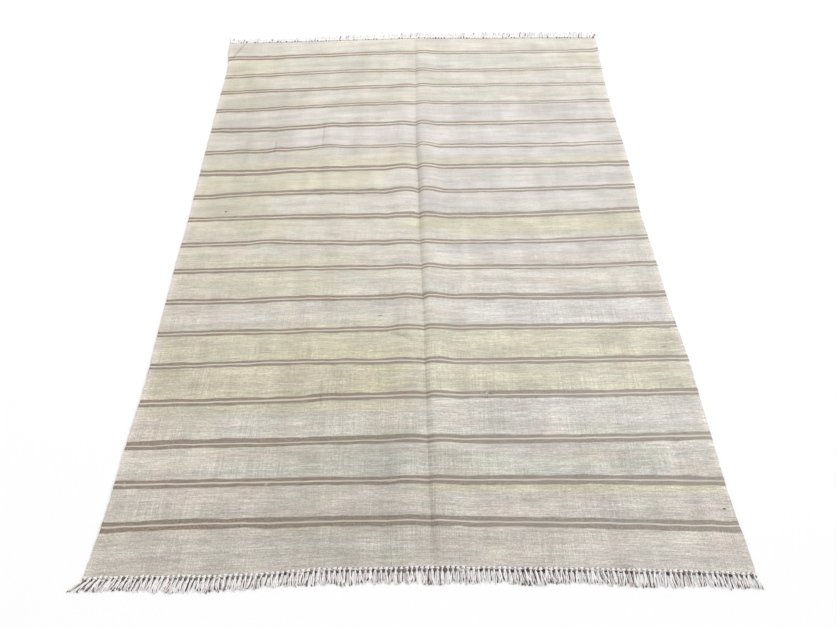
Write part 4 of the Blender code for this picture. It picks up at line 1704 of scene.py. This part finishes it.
def smooth_weights(stations: Sequence[float], samples: Sequence[float]) -> np.ndarray:
    """Find how much of each station's value a smooth curve has at each sample.

    Args:
        stations: Where the curve's values are given.
        samples: Where it is read.

    Returns:
        A row of weights for each sample.
    """
    keys = np.array(stations)
    units = np.eye(len(keys))
    tangents = np.gradient(units, keys, axis=0)
    where = np.array(samples)
    first = np.clip(np.searchsorted(keys, where, side="right") - 1, 0, len(keys) - 2)
    span = (keys[first + 1] - keys[first])[:, None]
    t = (where - keys[first])[:, None] / span
    start = (2 * t**3 - 3 * t**2 + 1) * units[first] + (t**3 - 2 * t**2 + t) * span * tangents[first]
    finish = (3 * t**2 - 2 * t**3) * units[first + 1] + (t**3 - t**2) * span * tangents[first + 1]
    return start + finish


@dataclass
class Fringe:
    """One end's fringe: the last picks of the weave, a row of knots and their locks of yarn."""

    sheet: WovenSheet
    yarns: Yarns
    wool: bpy.types.Material
    yarn: bpy.types.Material
    cotton: bpy.types.Material
    side: str
    node: str
    end: Sequence[End]
    outward: float
    seed: int
    locks: int = 130
    knot_jitter: float = 0.0008
    length_jitter: float = 0.0028
    lean_jitter: float = 0.0007
    # share of white strands that get a dark under strand, painted shade for the gaps between them
    under_share: float = 1.0
    # share of cord pieces painted nearly black as shade between the knots; the next field is how dark the rest are
    specks: float = 0.88
    faint_shade: float = 0.15
    strand_width: float = 0.0041
    under_width: float = 0.0035
    cord_width: float = 0.0092
    cord_out: float = 0.0078
    cord_wander: float = 0.0022
    lock_sway: float = 0.0018

    def build(self, columns: np.ndarray) -> list[bpy.types.Object]:
        """Build the fringe's pieces and set them in the frame.

        Args:
            columns: The cloth's columns, which its strip meets.

        Returns:
            The strip, the cord, the knots and the strands.
        """
        self.set_locks()
        strip = self.build_strip(columns)
        cord = self.build_shade_cord()
        knots = self.build_knots()
        strands = self.build_strands()
        slots = ("woven_wool", "woven_wool", "fringe_cotton", "fringe_cotton")
        for piece, slot in zip((strip, cord, knots, strands), slots):
            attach(piece, "root")
            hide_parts(self.node)
            LOG.info("%s: %d faces", piece.name, len(piece.data.polygons))
        return [strip, cord, knots, strands]

    def set_locks(self) -> None:
        """Find each lock's place, length and lean, in the same draws as the solids."""
        chance = random.Random(self.seed)
        left = self.end[0].x
        pitch = (self.end[-1].x - left) / self.locks
        jitters = [chance.uniform(-self.knot_jitter, self.knot_jitter) for _ in range(self.locks)]
        self.place = np.array([left + (index + 0.5) * pitch + jitter for index, jitter in enumerate(jitters)])
        lengths = SmoothCurve.through(self.end, "x", "length").at(self.place)
        leans = SmoothCurve.through(self.end, "x", "lean").at(self.place)
        chance = random.Random(self.seed + 1)
        draws = []
        for _ in range(self.locks):
            draws.append(
                (
                    chance.uniform(-self.length_jitter, self.length_jitter),
                    chance.uniform(-self.lean_jitter, self.lean_jitter),
                )
            )
        jitter = np.array(draws)
        self.length = lengths + jitter[:, 0]
        self.lean = leans + jitter[:, 1]
        self.edge = SmoothCurve.through(self.end, "x", "edge").at(self.place)

    def build_strip(self, columns: np.ndarray) -> bpy.types.Object:
        """Build the last picks of the weave, which the knots hold.

        Args:
            columns: The cloth's columns.

        Returns:
            The strip.
        """
        layout = self.sheet.layout
        edge_x, edge_y = layout.end_points(columns, self.end)
        insets = np.array((1.0, 0.55, 0.0)) * layout.strip_width
        y = np.stack([edge_y - self.outward * inset for inset in insets])
        x = np.stack([layout.column_place(columns, row) for row in y])
        x[-1] = edge_x
        rim = np.zeros(x.shape, bool)
        rim[-1] = True
        rim[:, [0, -1]] = True
        if self.outward < 0.0:
            x, y, rim = x[::-1], y[::-1], rim[::-1]
        strip = self.sheet.draw(f"{self.side}_end_picks", x, y, rim)
        strip.data.materials.append(self.wool)
        return strip

    def build_shade_cord(self) -> bpy.types.Object:
        """Build a dark twined cord that runs from knot to knot and shows in the gaps.

        It is painted shade, standing in for the shadowed gaps between the knots.

        Returns:
            The cord, as one piece.
        """
        chance = np.random.default_rng(self.seed + 20)
        stops = np.concatenate(([self.end[0].x], self.place, [self.end[-1].x]))
        copies = len(stops) - 1
        sections = np.array(self.yarns.sections)
        x = stops[:-1, None] + (stops[1:] - stops[:-1])[:, None] * sections
        edge = SmoothCurve.through(self.end, "x", "edge").at(x)
        swell = 0.45 + 0.55 * np.sin(math.pi * sections) ** 2
        bulk = chance.uniform(0.45, 1.45, copies)[:, None]
        wander = chance.uniform(-self.cord_wander, self.cord_wander, copies)
        out = self.cord_out + wander[:, None] * np.sin(math.pi * sections)
        y = edge + self.outward * out
        z = 0.0006 + 0.6 * self.sheet.layout.lift(x, edge)
        paths = np.stack((x, y, z), axis=-1) + np.array(self.sheet.layout.shift)
        cord = self.yarns.strand(f"{self.side}_end_shade_cord", copies)
        self.yarns.lay(cord, paths, self.cord_width * swell * bulk)
        count = len(self.yarns.template)
        # painted shade: most cord pieces are nearly black, the rest faintly dark
        dark = np.where(chance.uniform(0.0, 1.0, copies) < self.specks, 1.0, self.faint_shade) * chance.uniform(0.70, 1.0, copies)
        dark = np.repeat(dark, count)
        zero = np.zeros_like(dark)
        write_colors(cord.data, "tone", [np.full_like(dark, 0.3), zero, dark, np.ones_like(dark)])
        cord.data.materials.append(self.yarn)
        return cord

    def build_knots(self) -> bpy.types.Object:
        """Build the row of knots at the end's edge.

        Returns:
            The knots, as one piece.
        """
        chance = np.random.default_rng(self.seed + 40)
        knots = self.yarns.knot(f"{self.side}_knots", self.locks)
        sizes = np.array((0.0112, 0.0092, 0.0082)) * chance.uniform(0.80, 1.16, (self.locks, 3))
        y = self.edge + self.outward * (0.070 * self.length + chance.uniform(-0.0014, 0.0014, self.locks))
        z = 0.42 * sizes[:, 2] + self.sheet.layout.lift(self.place, self.edge) * 0.5
        places = np.stack((self.place + 0.02 * self.lean, y, z), axis=-1)
        places += np.array(self.sheet.layout.shift)
        turns = chance.uniform(-0.35, 0.35, self.locks) + np.arctan2(self.lean, self.length) * 0.5
        self.yarns.seat_knots(knots, places, sizes, turns)
        count = len(self.yarns.knot_template)
        tone = np.repeat(chance.uniform(0.0, 0.20, self.locks), count)
        zero = np.zeros_like(tone)
        write_colors(knots.data, "tone", [tone, zero, zero, np.ones_like(tone)])
        knots.data.materials.append(self.cotton)
        return knots

    def build_strands(self) -> bpy.types.Object:
        """Build the locks' strands: thick white ones, and thin dark ones under and between them.

        The dark ones are painted shade, standing in for the shadowed gaps between the locks.

        Returns:
            The strands, as one piece.
        """
        chance = np.random.default_rng(self.seed + 80)
        counts = chance.choice((2, 3, 3, 3, 4), self.locks)
        lock = np.repeat(np.arange(self.locks), counts)
        lane = np.concatenate([np.arange(count) - 0.5 * (count - 1) for count in counts])
        white = len(lane)
        # the white strands that get a dark under strand of painted shade beside them
        soiled = chance.uniform(0.0, 1.0, white) < self.under_share
        lock = np.concatenate((lock, lock[soiled]))
        lane = np.concatenate((lane, lane[soiled] + 0.5))
        total = len(lock)
        under = np.arange(total) >= white
        stations = (0.0, 0.13, 0.27, 0.62, 1.0)
        spread = np.array((0.0022, 0.0011, 0.0015, 0.0030, 0.0037))
        spread = np.where(under[:, None], np.maximum(spread, 0.0030), spread)
        share = np.array((0.0, 0.02, 0.14, 0.60, 1.0))
        stray = chance.normal(0.0, 1.0, (total, 5)) * np.array((0.0001, 0.0002, 0.0003, 0.0011, 0.0022))
        sway = chance.normal(0.0, self.lock_sway, self.locks)
        lean = (self.lean + np.clip(sway, -0.004, 0.004))[lock, None]
        x = self.place[lock, None] + lane[:, None] * spread + lean * share + stray
        # painted shade: in places the dark under strands reach past the white tips
        trail = np.where(np.sin(23.0 * self.place + 1.0) + np.sin(57.0 * self.place) > 0.5, 0.0015, -0.0035)
        reach = self.length[lock] + chance.uniform(-0.0014, 0.0042, total) + np.where(under, trail[lock], 0.0)
        out = np.array(stations) * reach[:, None]
        out[:, 0] = np.where(under, 0.0030, -0.0012)
        y = self.edge[lock, None] + self.outward * out
        layer = np.where(under, 0.0, chance.uniform(0.35, 1.0, total))
        rest = 0.5 * self.yarns.flatness * np.where(under, self.under_width, self.strand_width)
        z = np.stack(
            (
                np.full(total, 0.0015),
                np.where(under, 0.0008, 0.0028),
                0.0007 + 0.0024 * layer,
                rest + 0.0018 * layer,
                rest + 0.0008 * layer**3,
            ),
            axis=-1,
        )
        z[:, 0] += self.sheet.layout.lift(self.place, self.edge)[lock]
        z[:, 1] += 0.5 * self.sheet.layout.lift(self.place, self.edge)[lock]
        weights = smooth_weights(stations, self.yarns.sections)
        paths = np.einsum("sk,nkc->nsc", weights, np.stack((x, y, z), axis=-1))
        paths += np.array(self.sheet.layout.shift)
        sections = np.array(self.yarns.sections)
        taper = np.interp(sections, (0.0, 0.10, 0.20, 0.35, 0.93, 1.0), (0.60, 0.62, 0.75, 1.0, 1.0, 0.62))
        widths = chance.uniform(0.82, 1.15, total) * np.where(under, self.under_width, self.strand_width)
        strands = self.yarns.strand(f"{self.side}_strands", total)
        self.yarns.lay(strands, paths, widths[:, None] * taper)
        count = len(self.yarns.template)
        tone = np.repeat(chance.uniform(0.0, 1.0, total) ** 3.0, count)
        soil = np.repeat(chance.uniform(0.2, 1.0, total), count)
        # painted shade: the under strands are nearly black
        dark = np.repeat(np.where(under, chance.uniform(0.80, 1.0, total), 0.0), count)
        write_colors(strands.data, "tone", [tone, soil, dark, np.ones_like(tone)])
        strands.data.materials.append(self.cotton)
        return strands


@dataclass
class LooseEnds:
    """The few yarn ends, joins and specks that lie on the cloth."""

    layout: RugLayout
    relief: Relief
    yarns: Yarns
    finish: bpy.types.Material

    def build(self) -> bpy.types.Object:
        """Lay the yarn ends on the cloth.

        Returns:
            The yarn ends, as one piece.
        """
        sections = np.array(self.yarns.sections) - 0.5
        paths, widths = [], []
        for yarn in LOOSE_YARNS:
            turn = math.radians(yarn.heading)
            along = sections * yarn.length
            across = yarn.curl * np.sin(2.0 * math.pi * sections + yarn.x)
            x = yarn.x + along * math.cos(turn) - across * math.sin(turn)
            y = yarn.y + along * math.sin(turn) + across * math.cos(turn)
            z = self.relief.height(x, y) + self.layout.thickness + 0.25 * yarn.width
            paths.append(np.stack((x, y, z), axis=-1) + np.array(self.layout.shift))
            widths.append(yarn.width * np.sqrt(np.clip(1.0 - (2.0 * sections) ** 4, 0.15, 1.0)))
        ends = self.yarns.strand("loose_yarn_ends", len(LOOSE_YARNS))
        self.yarns.lay(ends, np.array(paths), np.array(widths))
        count = len(self.yarns.template)
        dark = np.repeat([yarn.dark for yarn in LOOSE_YARNS], count)
        tone = np.full_like(dark, 0.3)
        write_colors(ends.data, "tone", [tone, tone, dark, np.ones_like(dark)])
        ends.data.materials.append(self.finish)
        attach(ends, "root")
        LOG.info("%s: %d faces", ends.name, len(ends.data.polygons))
        return ends


@dataclass
class Studio:
    """A plain pale floor, plain soft light and the camera."""

    eye: tuple[float, float, float] = (-0.007, -1.782, 1.834)
    pitch: float = 52.96
    yaw: float = -0.41
    roll: float = -0.19
    lens: float = 29.71
    sensor: float = 36.0
    floor_size: float = 60.0
    floor_drop: float = 0.0004
    floor_color: tuple[float, ...] = (0.97, 0.97, 0.97, 1.0)
    sky: float = 0.784
    side_heading: tuple[float, float, float] = (1.0, 0.35, 0.80)
    side_strength: float = 0.90
    side_softness: float = 30.0
    far_place: tuple[float, float, float] = (0.6, 3.4, 3.0)
    far_size: float = 2.0
    far_power: float = 40.0

    def build(self, shift: Vector) -> None:
        """Build the floor, the lights and the camera.

        Args:
            shift: How far the rug's sizes are moved to lie in the frame.
        """
        self.lay_floor()
        self.light()
        self.aim_camera(shift)
        view = bpy.context.scene.view_settings
        view.view_transform = "Standard"
        view.look = "None"

    def lay_floor(self) -> None:
        """Lay the floor just under the rug."""
        bpy.ops.object.select_all(action="DESELECT")
        bpy.ops.mesh.primitive_plane_add(size=self.floor_size, location=(0.0, 0.0, -self.floor_drop))
        floor = bpy.context.active_object
        floor.name = "studio_floor"
        bench = NodeBench("pale_floor")
        bench.shader.inputs["Base Color"].default_value = self.floor_color
        bench.shader.inputs["Roughness"].default_value = 0.95
        bench.shader.inputs["Specular IOR Level"].default_value = 0.1
        floor.data.materials.append(bench.material)

    def light(self) -> None:
        """Add an even white sky, a soft light from the right and a large one past the far end."""
        world = bpy.data.worlds.new("soft_sky")
        bpy.context.scene.world = world
        world.use_nodes = True
        background = world.node_tree.nodes["Background"]
        background.inputs["Color"].default_value = (1.0, 1.0, 1.0, 1.0)
        background.inputs["Strength"].default_value = self.sky
        side = bpy.data.lights.new("side_light", "SUN")
        side.energy = self.side_strength
        side.angle = math.radians(self.side_softness)
        far = bpy.data.lights.new("far_light", "AREA")
        far.size = self.far_size
        far.energy = self.far_power
        for lamp, place in ((side, self.side_heading), (far, self.far_place)):
            item = bpy.data.objects.new(lamp.name, lamp)
            bpy.context.scene.collection.objects.link(item)
            item.location = place
            item.rotation_euler = Vector(place).to_track_quat("Z", "Y").to_euler()

    def aim_camera(self, shift: Vector) -> None:
        """Set the camera where a standing person holds it at the rug's near end.

        Args:
            shift: How far the rug's sizes are moved to lie in the frame.
        """
        data = bpy.data.cameras.new("camera")
        data.lens = self.lens
        data.sensor_width = self.sensor
        data.clip_end = 200.0
        camera = bpy.data.objects.new("camera", data)
        bpy.context.scene.collection.objects.link(camera)
        turn = Matrix.Rotation(math.radians(self.yaw), 4, "Z")
        turn = turn @ Matrix.Rotation(math.radians(90.0 - self.pitch), 4, "X")
        turn = turn @ Matrix.Rotation(math.radians(self.roll), 4, "Z")
        camera.matrix_world = Matrix.Translation(Vector(self.eye) + shift) @ turn
        bpy.context.scene.camera = camera


def main() -> None:
    """Build the rug's pieces around the frame, then the studio."""
    logging.basicConfig(level=logging.INFO, format="%(message)s")
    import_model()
    layout = RugLayout()
    layout.fit_to("rug_cloth")
    relief = Relief(layout)
    pattern = StripePattern(layout)
    sheet = WovenSheet(layout, relief, pattern, DyeChart(layout))
    wool = WoolFinish().make(pattern)
    cotton = YarnFinish("fringe_cotton").make()
    yarn = YarnFinish("wool_yarn", pale=(0.760, 0.690, 0.600, 1.0)).make()
    yarns = Yarns()
    cloth_maker = Cloth(sheet, wool)
    cloth = cloth_maker.build()
    columns = cloth_maker.columns()
    near = Fringe(sheet, yarns, wool, yarn, cotton, "near", "fringe_near", NEAR_END, -1.0, 11).build(columns)
    # paler, lit copies of the fringe cotton and the cord yarn: painted light for the brighter far end
    far_lit_cotton = YarnFinish("fringe_cotton_far_lit", pale=(0.970, 0.965, 0.965, 1.0), warm=(0.880, 0.840, 0.820, 1.0)).make()
    pale = YarnFinish("wool_yarn_far_lit", pale=(0.960, 0.930, 0.900, 1.0), warm=(0.900, 0.860, 0.820, 1.0)).make()
    far_fringe = Fringe(
        sheet, yarns, wool, pale, far_lit_cotton, "far", "fringe_far", FAR_END, 1.0, 23,
        under_share=0.12, specks=0.58, faint_shade=0.03, strand_width=0.0033, cord_width=0.0098, cord_out=0.0075,
        cord_wander=0.0034,
    )
    far = far_fringe.build(columns)
    ends = LooseEnds(layout, relief, yarns, yarn).build()
    Studio().build(layout.shift)


if __name__ == "__main__":
    main()
